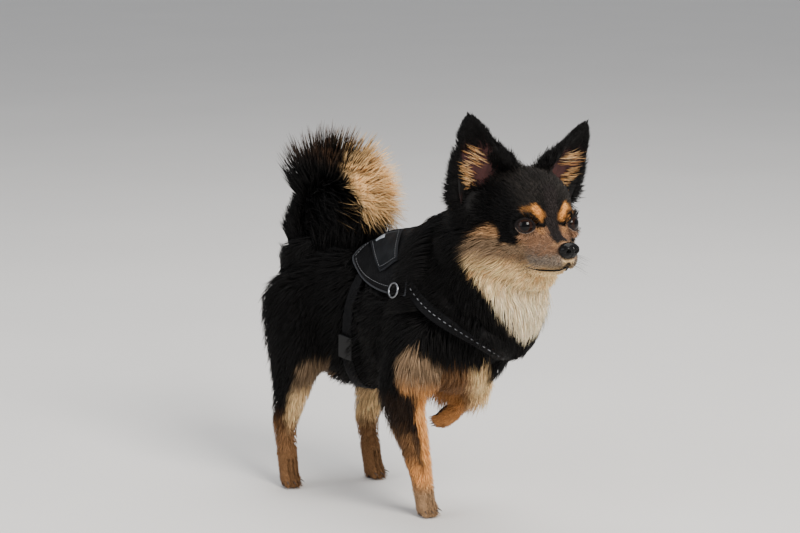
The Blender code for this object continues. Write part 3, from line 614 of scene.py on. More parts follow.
MOUTH_LINE = np.array(  # X, height of the line between the lips
    [[0.016, -0.0366], [0.022, -0.0385], [0.032, -0.0392],
     [0.046, -0.0380], [0.058, -0.0368], [0.066, -0.0350]]
)


def along_table(table, where):
    """The second column of a table at places in its first column."""
    return np.interp(where, table[:, 0], table[:, 1])


def mouth_line(q):
    """Height over the line of the mouth, and how far in from its ends, for places in the head's frame."""
    x, ay = q[:, 0], np.abs(q[:, 1])
    rise = 0.0035 * ramp(ay, 0.0050, 0.0) * ramp(x, 0.052, 0.060)
    return q[:, 2] - along_table(MOUTH_LINE, x) - rise, ramp(x, 0.0165, 0.020)


def cheek_colours(points, x, z, jitter):
    """The cheek: tan under the eye, greyer below it, cream under the jaw, with brown mottling."""
    cheek = mix(GREY_TAN * 0.8, TAN, ramp(z + 0.004 * jitter, -0.020, -0.011))
    cheek = mix(cheek, GREY_TAN, ramp(z + 0.006 * jitter, -0.022, -0.032))
    cheek = mix(cheek, CREAM, ramp(z + 0.006 * jitter, -0.031, -0.043))
    ragged = z + 0.003 * jitter
    # A darker grey-brown band across the lower cheek: partly the cheek's own grey-brown, partly painted
    # shade.
    band = ramp(ragged, -0.026, -0.032) * ramp(ragged, -0.047, -0.039) * ramp(x, 0.004, 0.014)
    cheek = mix(cheek, mix(GREY_TAN, BROWN, 0.35) * 0.9, 0.55 * band)
    return mix(cheek, BROWN, 0.35 * ramp(wobble(points, 0.005, 13), 0.15, 0.5))


def muzzle_colours(points, x, ay, z, jitter):
    """The muzzle: brown above, grey below, paler behind the nose and at the lip, with dark specks."""
    muzzle = mix(MUZZLE_BROWN * 1.15, MUZZLE_GREY, ramp(z + 0.005 * jitter, -0.017, -0.031))
    above = ramp(x, 0.0490, 0.0540) * ramp(x, 0.0590, 0.0560) * ramp(z, -0.020, -0.014)
    muzzle = mix(muzzle, TAN * 1.15, 0.8 * above)
    lip = ramp(x, 0.0600, 0.0640) * ramp(z, -0.0250, -0.0285) * ramp(ay, 0.0070, 0.0030)
    muzzle = mix(muzzle, CREAM * 0.75, lip)
    speckle = ramp(wobble(points, 0.0016, 7), 0.25, 0.6)
    return mix(muzzle, WARM_BLACK, 0.5 * speckle * ramp(x, 0.034, 0.044) * ramp(z, -0.018, -0.025))


def brow_colours(colour, folded, jitter):
    """The two bright spots over each eye."""
    outer = segment_distance(folded, (0.0290, 0.0215, 0.0078), (0.0345, 0.0150, 0.0102)) + 0.0013 * jitter
    lower = segment_distance(folded, (0.0345, 0.0142, 0.0098), (0.0358, 0.0094, 0.0032)) + 0.0013 * jitter
    brow = np.maximum(0.55 * ramp(outer, 0.0044, 0.0004), ramp(lower, 0.0056, 0.0012))
    middle = np.linalg.norm(folded - [0.0348, 0.0125, 0.0088], axis=1)
    return mix(colour, mix(ORANGE * 0.62, ORANGE, ramp(middle, 0.0065, 0.0030)), brow)


def mouth_colours(colour, q, x):
    """The grey chin, the shade round the mouth and the dark line between the lips."""
    over, there = mouth_line(q)
    below = ramp(over, 0.0, -0.002) * there
    chin = mix(MUZZLE_GREY * 0.55, MUZZLE_GREY, ramp(over, -0.002, -0.008))
    colour = mix(colour, chin, 0.8 * below * ramp(x, 0.018, 0.032))
    shade = ramp(over, 0.0060, 0.0012) * ramp(over, -0.0040, -0.0010) * there * ramp(x, 0.018, 0.050)
    colour = mix(colour, LIP * 2.2, 0.60 * shade)
    return mix(colour, LIP * 0.6, ramp(np.abs(over), 0.0026, 0.0014) * there)


def lid_colours(colour, points):
    """Dark skin round each eye, and a painted highlight along the wet edge of the lower lid."""
    for side, centre in EYE_CENTRES.items():
        gap = eye_gap(points, side)
        colour = mix(colour, LIP * 0.8, ramp(gap, 0.0019, 0.0008))
        lower = ramp(((points - centre) @ eye_axes(side)[2]) / EYE_RADIUS, -0.25, -0.45)
        # Painted highlight: a pale line along the lower lid's wet edge.
        colour = mix(colour, LID_HIGHLIGHT, 0.85 * ramp(np.abs(gap - 0.0004), 0.00060, 0.00025) * lower)
    return colour


def face_colours(points, jitter):
    """Colours of the head, from its own frame."""
    q = to_head(points)
    x, ay, z = q[:, 0], np.abs(q[:, 1]), q[:, 2]
    folded = np.stack([x, ay, z], 1)
    # Painted sheen: lighter grey streaks on the black crown stand in for its highlight.
    crown = ramp(z, 0.002, 0.014) * ramp(x, 0.042, 0.030) * ramp(ay, 0.030, 0.020)
    crown = crown * np.clip(0.55 + 0.5 * wobble(points, 0.004, 11), 0, 1)
    colour = mix(BLACK, CROWN_SHEEN, 0.75 * crown)
    top = along_table(CHEEK_TOP, x) + 0.0018 * jitter
    rear = along_table(CHEEK_REAR, z) + 0.0018 * jitter
    tan = ramp(z, top + 0.0012, top - 0.0016) * ramp(x, rear - 0.0022, rear + 0.0026)
    cheek = cheek_colours(points, x, z, jitter)
    muzzle = muzzle_colours(points, x, ay, z, jitter)
    colour = mix(colour, mix(cheek, muzzle, ramp(x, 0.024, 0.034)), tan)
    bridge = ramp(ay + 0.0012 * jitter, 0.0072, 0.0046) * ramp(x, 0.026, 0.034) * ramp(z, -0.022, -0.0165)
    colour = mix(colour, BRIDGE, bridge * ramp(x, 0.0580, 0.0540))
    inner = np.linalg.norm(folded - [0.0375, 0.0098, -0.0078], axis=1)
    colour = mix(colour, mix(TAN, ORANGE, 0.3), 0.5 * ramp(inner + 0.001 * jitter, 0.0040, 0.0018))
    colour = brow_colours(colour, folded, jitter)
    return lid_colours(mouth_colours(colour, q, x), points)


def marking(points, regions):
    """The animal's colours at places on its skin; regions gives each place its node."""
    jitter = wobble(points, 0.010) + 0.6 * wobble(points, 0.0035, 1)
    x, y, z = points.T
    q = to_head(points)
    face = face_colours(points, jitter)
    near_head = ramp(q[:, 2], -0.056, -0.040) * ramp(q[:, 0], -0.050, -0.036)
    front = np.isin(regions, ["head", "neck"])[:, None]
    colour = np.where(front, mix(BLACK, face, near_head), BLACK)
    colour = np.where(front, mix(colour, *bib_colours(points, jitter)), colour)

    shoulder = (regions == "trunk") & (y < -0.02) & (x > -0.012) & (z < 0.165)
    right_fore = np.isin(regions, ["foreleg_right", "forepaw_right"]) | shoulder
    colour = np.where(right_fore[:, None], right_fore_colours(points, jitter), colour)

    across = 0.682 * x + 0.731 * y  # along the lifted forearm, seen over the front of the chest
    chest = (regions == "trunk") & (z < 0.136) & (x > 0.010) & (y > -0.036)
    left_fore = np.isin(regions, ["foreleg_left", "forepaw_left"]) | chest
    left = raised_colours(points, jitter, across)
    left = mix(left, BLACK, chest * ramp(across + 0.003 * jitter, 0.044, 0.050))
    colour = np.where(left_fore[:, None], left, colour)

    for side, name in SIDE_NAMES.items():
        hind = np.isin(regions, [f"hindleg_{name}", f"hindpaw_{name}"])
        colour = np.where(hind[:, None], hind_colours(points, jitter, side), colour)
    colour = np.where((regions == "tail")[:, None], tail_colours(jitter), colour)
    # Painted shade: darker in the furrows between the toes.
    return colour * (1 - 0.65 * paw_furrows(points))[:, None]


def bib_colours(points, jitter):
    """The pale front of the neck, and how far it holds there."""
    x, y, z = points.T
    width = along_table(BIB_WIDTH, z) + 0.0022 * jitter
    behind = along_table(BIB_REAR, z) + 0.0022 * jitter
    bib = ramp(np.abs(y - SHIFT[1]), width + 0.002, width - 0.002)
    bib = bib * ramp(x, behind - 0.003, behind + 0.001) * ramp(z, 0.236, 0.222)
    bib *= ramp(z, 0.151, 0.159)
    whites = mix(CREAM, WHITE, ramp(z + 0.01 * jitter, 0.215, 0.190))
    blush = ramp(wobble(points, 0.014, 4), 0.25, 0.6) * ramp(z, 0.195, 0.210)
    return mix(whites, ORANGE * 0.9, 0.40 * blush), bib


def right_fore_colours(points, jitter):
    """The right shoulder and standing foreleg: a pale patch in the black, over the tan of the leg."""
    x, y, z = points.T
    patch = np.hypot((x - 0.0365) / 0.0190, (z - 0.1265) / 0.0225) + 0.13 * jitter
    patch = ramp(patch, 1.10, 0.80) * ramp(y, -0.018, -0.028)
    upper = mix(GREY_TAN * 0.8, BRIGHT_TAN * 0.85, ramp(z + 0.004 * jitter, 0.125, 0.104))
    share = ramp(z + 0.002 * jitter, 0.112, 0.100)
    return mix(mix(BLACK, upper, patch), fore_colours(points, jitter), share)


def fore_colours(points, jitter):
    """The standing foreleg: tan in front and inside, a dark stripe outside, greyer down to the toes."""
    x, y, z = points.T
    heights = [0.0, 0.038, 0.112]
    ahead = x - np.interp(z, heights, [0.0105, 0.0127, 0.0047])
    outside = np.interp(z, heights, [-0.0142, -0.0222, -0.0372]) - y
    turn = np.degrees(np.arctan2(outside, ahead))  # 0 in front, 90 outside
    rear = ramp(turn + 12 * jitter, 90, 125) + ramp(turn - 9 * jitter, -120, -140)
    colour = mix(BRIGHT_TAN, mix(BROWN, GREY_TAN, 0.35), 0.85 * np.clip(rear, 0, 1))
    stripe = ramp(turn + 10 * jitter, 8, 26) * ramp(turn + 14 * jitter, 175, 120)
    stripe *= ramp(z + 0.006 * jitter, 0.038, 0.058)
    flecks = np.clip(0.42 + 0.50 * wobble(points, 0.0028, 5), 0, 1)
    colour = mix(colour, mix(WARM_BLACK * 1.6, mix(BROWN, GREY_TAN, 0.3), flecks), 0.86 * stripe)
    edge = ramp(turn + 7 * jitter, 10, 20) * ramp(turn + 7 * jitter, 48, 32) * ramp(z, 0.036, 0.050)
    colour = mix(colour, WARM_BLACK * 1.4, 0.62 * edge)
    high = ramp(turn + 10 * jitter, 10, 30) * ramp(z + 0.005 * jitter, 0.064, 0.082)
    colour = mix(colour, WARM_BLACK * 0.6, 0.93 * high)
    return mix(colour, mix(GREY_TAN, TAN, 0.35), ramp(z, 0.034, 0.020))


def raised_colours(points, jitter, across):
    """The lifted foreleg: brown along the forearm, darkened as painted shade and most on its outer side;
    cream at the wrist's fringe, partly the fur's own and partly a painted highlight.
    """
    x, y, z = points.T
    ragged = z + 0.003 * jitter
    # Painted shade: the forearm's fur is darkened towards brown.
    fur = mix(BROWN * 0.62, TAN * 0.9, np.clip(0.20 + 0.25 * jitter, 0, 1))
    colour = mix(BLACK, fur, ramp(ragged, 0.1330, 0.1270))
    # Painted shade: darker still on the forearm's outer side.
    colour = mix(colour, BROWN * 0.62, 0.5 * (1 - ramp(y, 0.040, 0.030)) * ramp(z, 0.100, 0.112))
    # The fringe's cream is partly the fur's own colour and partly a painted highlight of its sunlit front.
    fringe = ramp(across + 0.005 * jitter, 0.026, 0.038) * ramp(ragged, 0.1345, 0.1290)
    colour = mix(colour, CREAM * 0.9, fringe)
    paw = ramp(ragged, 0.104, 0.092) * ramp(x + 0.002 * jitter, 0.024, 0.012) * ramp(x, -0.022, -0.012)
    return mix(colour, mix(BRIGHT_TAN, BROWN, 0.4) * 0.85, paw)


HIND_EDGE = np.array(  # height, X in front of which the right hind leg is pale
    [[0.03, -0.141], [0.057, -0.1385], [0.08, -0.130], [0.092, -0.125], [0.11, -0.113], [0.13, -0.095]]
)
HIND_STEP = {-1: 0.0, 1: 0.028}  # how far each hind leg stands in front of the right one


def hind_colours(points, jitter, side):
    """Black outside and behind, cream in front and inside of the lower thigh, darkened to grey-tan higher up
    as painted shade, tan to the toes.
    """
    x, y, z = points.T
    edge = along_table(HIND_EDGE, z) + HIND_STEP[side] + 0.002 * jitter
    inside = ramp(np.abs(y) + 0.002 * jitter, 0.030, 0.022)
    pale = np.clip(ramp(x, edge + 0.001, edge + 0.009) + 0.8 * inside, 0, 1)
    pale = pale * ramp(z + 0.002 * jitter, 0.120, 0.108)
    colour = mix(BLACK, BROWN * 0.50, ramp(z + 0.004 * jitter, 0.075, 0.052))
    # Painted shade: the pale front is a dark grey-tan higher up and lighter cream lower down.
    front = mix(GREY_TAN * 0.55, CREAM * 0.95, ramp(z + 0.003 * jitter, 0.096, 0.074))
    colour = mix(colour, front, pale)
    return mix(colour, mix(TAN, BROWN, 0.75) * 0.85, ramp(z + 0.004 * jitter, 0.062, 0.042))


def tail_colours(jitter):
    """Dark hair at the root all along the tail."""
    return BLACK * (1 + 0.2 * jitter[:, None])


# ---- Eyes' openings --------------------------------------------------------------------------------
EYE_WIDE, EYE_HIGH = 0.0074, 0.0051  # half the opening, along the ball
LID_TILT = 7.0  # degrees that the outer corner lies higher


def eye_axes(side):
    """The gaze, the way along the lids to the outer corner, and the way up, in the frame."""
    gaze = unit(np.array([0.835, 0.53 * side, 0.06]))
    up = np.array([-0.05, 0.02 * side, 1.0])
    up = unit(up - gaze * (up @ gaze))
    along = np.cross(up, gaze) * side
    tilt = math.radians(LID_TILT)
    across = along * math.cos(tilt) + up * math.sin(tilt)
    up = up * math.cos(tilt) - along * math.sin(tilt)
    return [HEAD_TURN @ way for way in (gaze, across, up)]


def eye_gap(points, side):
    """How far places lie outside the opening between the lids, along the ball's surface."""
    gaze, along, up = eye_axes(side)
    away = unit(points - EYE_CENTRES[side])
    forward = away @ gaze
    angle = np.arccos(np.clip(forward, -1, 1))
    flat = np.stack([away @ along, away @ up], 1)
    flat = flat / np.maximum(np.linalg.norm(flat, axis=1, keepdims=True), 1e-9)
    flat = flat * (angle * EYE_RADIUS)[:, None]
    u, v = flat[:, 0] / EYE_WIDE, flat[:, 1] / EYE_HIGH
    v = v - 0.10 * (1 - np.abs(u))
    v = np.where(v > 0, v * 1.06, v * 0.96)
    reach = (np.abs(u) ** 1.6 + np.abs(v) ** 1.8) ** (1 / 1.7)
    return (reach - 1) * EYE_HIGH + np.where(forward < 0, 0.02, 0.0)


# ---- Skin -------------------------------------------------------------------------------------------
NOSE_AT = np.array([0.0635, 0.0, -0.0205])  # the middle of the nose, in the head's frame
CUT_OVERLAP = 0.0005
PAW_REACH = 0.018  # a paw's toes and pads lie within this of its middle
PAW_AT = {
    "forepaw_right": placed(0.067, -0.013, 0.0078),
    "forepaw_left": placed(0.054, 0.022, 0.076),
    "hindpaw_right": placed(-0.082, -0.036, 0.0078),
    "hindpaw_left": placed(-0.054, 0.038, 0.0078),
}
PAW_TURN = {"forepaw_right": -0.10, "hindpaw_right": -0.12, "hindpaw_left": 0.12}
WRIST = placed(0.086, 0.035, 0.109)
ELBOW = placed(0.030, 0.036, 0.119)


def paw_axes(name):
    """The ways to the toes, to the paw's left and out of its back."""
    if name == "forepaw_left":
        toes = unit(PAW_AT[name] - WRIST)
        back = np.array([0.7, 0.0, -0.7])
    else:
        toes = unit(np.array([1.0, PAW_TURN[name], 0.0]))
        back = np.array([0.0, 0.0, 1.0])
    back = unit(back - (back @ toes) * toes)
    return toes, np.cross(back, toes), back


class Flesh:
    """The CAD solids of the animal, for which node lies nearest."""

    def __init__(self, names):
        v, t, counts = stacked([from_bmesh(welded(name)) for name in names])
        self.tree = tree_of(v, t)
        self.owner = np.repeat(names, counts)

    def region(self, points):
        return self.owner[nearest(self.tree, points)[2]]


def ear_distance(points):
    """How far places are from the ears."""
    out = np.full(len(points), 0.03)
    near = np.linalg.norm(points - HEAD_AT, axis=1) < 0.075
    ears = Flesh(["ear_right", "ear_left"])
    out[near] = np.linalg.norm(nearest(ears.tree, points[near])[0] - points[near], axis=1)
    return out


def grown_flesh():
    """The solids of the body as one mesh, with the thin cuts between them closed."""
    bm = bmesh.new()
    for name in [*FLESH, *EYES.values(), "nose"]:
        part = welded(name)
        if name in FLESH:
            for vert in part.verts:
                vert.co += vert.normal * CUT_OVERLAP
        bm.from_mesh(from_bmesh(part))
    return from_bmesh(bm)


def coat_depth(points, regions):
    """How far under the coat's outer surface the skin lies."""
    q = to_head(points)
    x, _, z = points.T
    depth = np.full(len(points), 0.0085)
    depth[regions == "neck"] = 0.0120
    head = np.interp(q[:, 0], [-0.03, -0.010, 0.010, 0.030, 0.045], [0.009, 0.0060, 0.0034, 0.0016, 0.0009])
    head += 0.0035 * ramp(q[:, 0], 0.012, -0.006) * ramp(q[:, 2], -0.004, -0.016)
    depth = np.where(regions == "head", head, depth)
    leg = np.interp(z, [0.03, 0.06, 0.11, 0.15], [0.0026, 0.0034, 0.0062, 0.0085])
    depth = np.where(np.isin(regions, LEG_NODES), leg, depth)
    lifted = np.interp(x, [-0.045, -0.02, 0.02], [0.0075, 0.0048, 0.0034])
    depth = np.where(regions == "foreleg_left", lifted, depth)
    depth[np.isin(regions, PAW_NODES)] = 0.0010
    for centre in EYE_CENTRES.values():
        depth *= ramp(np.linalg.norm(points - centre, axis=1), 0.0095, 0.0150)
    depth *= ramp(ear_distance(points), 0.0040, 0.0140)
    return depth * ramp(np.linalg.norm(q - NOSE_AT, axis=1), 0.008, 0.012)


def remeshed(mesh, size):
    return applied(mesh, ("REMESH", {"mode": "VOXEL", "voxel_size": size}))


def biggest_part(mesh):
    """Only the largest connected part of a mesh."""
    bm = bmesh.new()
    bm.from_mesh(mesh)
    left, best = set(bm.verts), []
    while left:
        seed = left.pop()
        part, edge = {seed}, [seed]
        while edge:
            vert = edge.pop()
            for link in vert.link_edges:
                other = link.other_vert(vert)
                if other not in part:
                    part.add(other)
                    edge.append(other)
        left -= part
        if len(part) > len(best):
            best = part
    bmesh.ops.delete(bm, geom=[v for v in bm.verts if v not in best], context="VERTS")
    return from_bmesh(bm)


def refine(mesh, inside):
    """Splits the faces whose vertices lie inside."""
    bm = bmesh.new()
    bm.from_mesh(mesh)
    edges = [e for e in bm.edges if inside[e.verts[0].index] and inside[e.verts[1].index]]
    bmesh.ops.subdivide_edges(bm, edges=edges, cuts=1, use_grid_fill=True)
    return from_bmesh(bm)


def pads():
    """The pads under the paws: a wide one, and one under each toe."""
    meshes = []
    for name, centre in PAW_AT.items():
        toes, left, back = paw_axes(name)
        turn = Matrix(np.stack([toes, left, back], 1).tolist()).to_4x4()
        spots = [((-0.0035, 0.0, -0.0065), (0.0048, 0.0052, 0.0018))]
        for out in (-1.0, -1 / 3, 1 / 3, 1.0):
            spots.append(((0.0085 - 0.003 * out * out, 0.0062 * out, -0.0055), (0.0030, 0.0022, 0.0020)))
        for (a, b, c), radii in spots:
            shift = Matrix.Translation(centre + a * toes + b * left + c * back)
            place = shift @ turn @ Matrix.Diagonal((*radii, 1))
            bm = bmesh.new()
            bmesh.ops.create_icosphere(bm, subdivisions=3, radius=1.0, matrix=place)
            meshes.append(from_bmesh(bm))
    return meshes


def sculpt_eyes(places):
    """Lids round each opening: the skin dips behind the ball inside it and stands over it outside."""
    for side, centre in EYE_CENTRES.items():
        away = places - centre
        radius = np.linalg.norm(away, axis=1)
        gap = eye_gap(places, side)
        near = (gap < 0.0062) & (radius < 0.016)
        way = away[near] / radius[near, None]
        g, skull = gap[near], np.maximum(radius[near], EYE_RADIUS + 0.0002)
        lid = EYE_RADIUS - 0.0014 + 0.0024 * ramp(g, -0.0012, 0.0011)
        fold = -0.00035 * np.exp(-(((g - 0.0027) / 0.0005) ** 2))
        outside = ramp(g, 0.0012, 0.0052)
        r = lid * (1 - outside) + skull * outside + fold
        places[near] = centre + way * r[:, None]
    return places


def sculpt_mouth(places, normals):
    """The groove between the lips, the lower lip's edge and the line under the nose."""
    q = to_head(places)
    over, there = mouth_line(q)
    groove = -0.0016 * np.exp(-((over / 0.0009) ** 2))
    lip = 0.0005 * np.exp(-(((over - 0.0022) / 0.0012) ** 2))
    ahead = ramp(q[:, 0], 0.0, 0.02)
    jaw = ramp(q[:, 2], -0.050, -0.046)
    philtrum = -0.0006 * np.exp(-((q[:, 1] / 0.0006) ** 2))
    philtrum = philtrum * ramp(q[:, 0], 0.060, 0.064) * ramp(over, -0.0005, 0.001)
    return places + normals * ((groove + lip) * there * ahead * jaw + philtrum)[:, None]


TAIL_CORE = [0.0150, 0.0125, 0.0095, 0.0082, 0.0072, 0.0064, 0.0052, 0.0036]  # radii, rump to tip


def sunk_flesh(flesh):
    """The body's surface sunk to the skin by the coat's depth, in small steps."""
    mesh = biggest_part(remeshed(grown_flesh(), 0.0017))
    edges = edges_of(mesh)
    places = averaged(arrays(mesh)[0], edges, 3)
    set_places(mesh, places)
    depth = averaged(coat_depth(places, flesh.region(places)), edges, 12) + 0.0004
    for _ in range(6):
        places = averaged(places - vertex_normals(mesh) * depth[:, None] / 6, edges, 1)
        set_places(mesh, places)
    return mesh


def detail_areas(places, first):
    """Where the skin needs finer faces: the lids, and the first time the mouth and the toes too."""
    q = to_head(places)
    fine = np.zeros(len(places), bool)
    for side, centre in EYE_CENTRES.items():
        close = np.linalg.norm(places - centre, axis=1) < 0.017
        fine |= (eye_gap(places, side) < (0.0065 if first else 0.0042)) & close
    if not first:
        return fine
    fine |= (np.abs(mouth_line(q)[0]) < 0.0035) & (q[:, 0] > 0.014) & (np.abs(q[:, 1]) < 0.021)
    for name, centre in PAW_AT.items():
        rel = places - centre
        fine |= (np.linalg.norm(rel, axis=1) < PAW_REACH) & (rel @ paw_axes(name)[0] > 0.0)
    return fine


def make_skin(flesh):
    """One skin for the whole animal, from the CAD solids and the tail's core."""
    radii = np.interp(np.linspace(0, 1, 41), np.linspace(0, 1, len(TAIL_CORE)), TAIL_CORE)
    core = tube(curve_through(TAIL_PATH, 40), radii, 16)
    mesh = biggest_part(remeshed(joined([sunk_flesh(flesh), core, *pads()]), 0.0014))
    set_places(mesh, averaged(arrays(mesh)[0], edges_of(mesh), 3))
    for first in (True, False):
        mesh = refine(mesh, detail_areas(arrays(mesh)[0], first))
    mesh.update()
    places = sculpt_mouth(arrays(mesh)[0], vertex_normals(mesh))
    places = sculpt_eyes(places)
    places = sculpt_paws(places, vertex_normals(mesh))
    q = to_head(places)
    behind = (np.linalg.norm(q - [0.0645, 0.0, -0.0205], axis=1) < 0.0086) & (q[:, 0] > 0.0585)
    socket = np.array([0.0600, 0.0, -0.0205])  # the skin behind the nose is drawn in to here
    q[behind] = socket + (q[behind] - socket) * [0.30, 0.80, 0.80]
    set_places(mesh, from_head(q))
    return smooth(mesh)


def paw_furrows(points):
    """How deep in the furrows between the toes places are, from 0 to 1."""
    depth = np.zeros(len(points))
    for name, centre in PAW_AT.items():
        toes, left, back = paw_axes(name)
        rel = points - centre
        near = np.linalg.norm(rel, axis=1) < 0.020
        near = near * ramp(rel @ toes, 0.0005, 0.0040) * ramp(rel @ back, -0.0075, -0.0050)
        for at in (-0.0045, 0.0, 0.0045):
            depth = np.maximum(depth, near * np.exp(-(((rel @ left - at * 0.95) / 0.00065) ** 2)))
    return depth


def sculpt_paws(places, normals):
    return places - normals * (0.0014 * paw_furrows(places))[:, None]


# ---- Coat -------------------------------------------------------------------------------------------
TUFT_PATCH = 0.003  # how wide a tuft's patch is on the OFBake map
ROOT_DEPTH = 0.0006  # how far under the skin a tuft starts
OFF_FLOOR = 0.0006  # no hair lies lower


def sampled(places, tris, weight, count):
    """Roots spread evenly over triangles by weight: triangle numbers and shares of their corners."""
    a, b, c = (places[tris[:, k]] for k in range(3))
    area = np.linalg.norm(np.cross(b - a, c - a), axis=1) * weight
    total = np.cumsum(area)
    picks = (np.arange(count) + rng.random(count)) / count * total[-1]
    face = np.searchsorted(total, picks)
    u, v = rng.random(count), rng.random(count)
    flip = u + v > 1
    u, v = np.where(flip, 1 - u, u), np.where(flip, 1 - v, v)
    return face, np.stack([1 - u - v, u, v], 1)


LOCK_PROFILES = {  # how wide a lock is at each of its rings, by their count
    2: [0.80, 0.85],
    3: [0.75, 1.0, 0.62],
    4: [0.7, 1.0, 0.9, 0.5],
}


def lock_faces(segments):
    """Triangles of one three-sided lock: its root, its sides and its point."""
    tris = [(0, 1, 2)]
    for j in range(segments - 1):
        for i in range(3):
            k = (i + 1) % 3
            a, b, c, d = 3 * j + i, 3 * (j + 1) + i, 3 * (j + 1) + k, 3 * j + k
            tris += [(a, b, c), (a, c, d)]
    last = 3 * (segments - 1)
    for i in range(3):
        tris.append((last + i, 3 * segments, last + (i + 1) % 3))
    return np.array(tris, np.int32)


def tuft_mesh(start, middle, end, up, half_width, segments, root_colour, tip_colour, root_uv,
              tip_from=0.2, span=1.0):
    """Solid three-sided tapered locks along quadratic curves, as one mesh."""
    count = len(start)
    rings, shares = [], []
    for s, width in zip(np.arange(segments) / segments, LOCK_PROFILES[segments]):
        spot = (1 - s) ** 2 * start + 2 * s * (1 - s) * middle + s * s * end
        ahead = unit(2 * (1 - s) * (middle - start) + 2 * s * (end - middle))
        side = unit(np.cross(ahead, up))
        w = (half_width * width)[:, None]
        rings += [spot - side * w, spot + side * w, spot + np.cross(side, ahead) * w]
        shares += [s, s, s]
    rings.append(end)
    shares.append(1.0)
    v = np.stack(rings, 1).reshape(-1, 3)
    first = np.arange(count, dtype=np.int32) * len(rings)
    faces = (lock_faces(segments)[None] + first[:, None, None]).reshape(-1, 3)
    shares = np.array(shares)
    tip_from = np.broadcast_to(tip_from, count)[:, None]
    blend = np.clip((shares[None] - tip_from) / np.maximum(span * (1 - tip_from), 0.05), 0, 1)
    colours = mix(root_colour[:, None], tip_colour[:, None], blend)
    # Painted shade: each lock darker towards its root, deep in the coat.
    rooted = 0.55 + 0.45 * np.clip(shares / 0.35, 0, 1)
    colours = (colours * rooted[None, :, None]).reshape(-1, 3)
    across = np.array([0.0, 1.0, 0.5] * segments + [0.5])
    patch = np.stack([across - 0.5, shares - 0.5], 1) * TUFT_PATCH
    bake = (root_uv[:, None] + patch[None]).reshape(-1, 2)
    offset = rng.random((count, 1, 2)) * 40
    strand = (np.stack([across, shares], 1)[None] + offset).reshape(-1, 2)
    mesh = bpy.data.meshes.new("tufts")
    mesh.vertices.add(len(v))
    mesh.vertices.foreach_set("co", v.ravel())
    mesh.loops.add(faces.size)
    mesh.loops.foreach_set("vertex_index", faces.ravel())
    mesh.polygons.add(len(faces))
    mesh.polygons.foreach_set("loop_start", np.arange(len(faces), dtype=np.int32) * 3)
    mesh.update(calc_edges=True)
    set_map(mesh, "OFBake", bake)
    set_map(mesh, "Strand", strand)
    paint(mesh, colours)
    return smooth(mesh)


HEAD_LENGTH = np.array(  # X in the head's frame, how long the hair is
    [[-0.034, 0.016], [-0.015, 0.0090], [0.010, 0.0062], [0.028, 0.0044], [0.040, 0.0030], [0.052, 0.0022]]
)


def sided(side, ahead, out, up):
    """The same way on both sides of the body, leaning out by out."""
    return np.stack([np.full(len(side), float(ahead)), out * side, np.full(len(side), float(up))], 1)


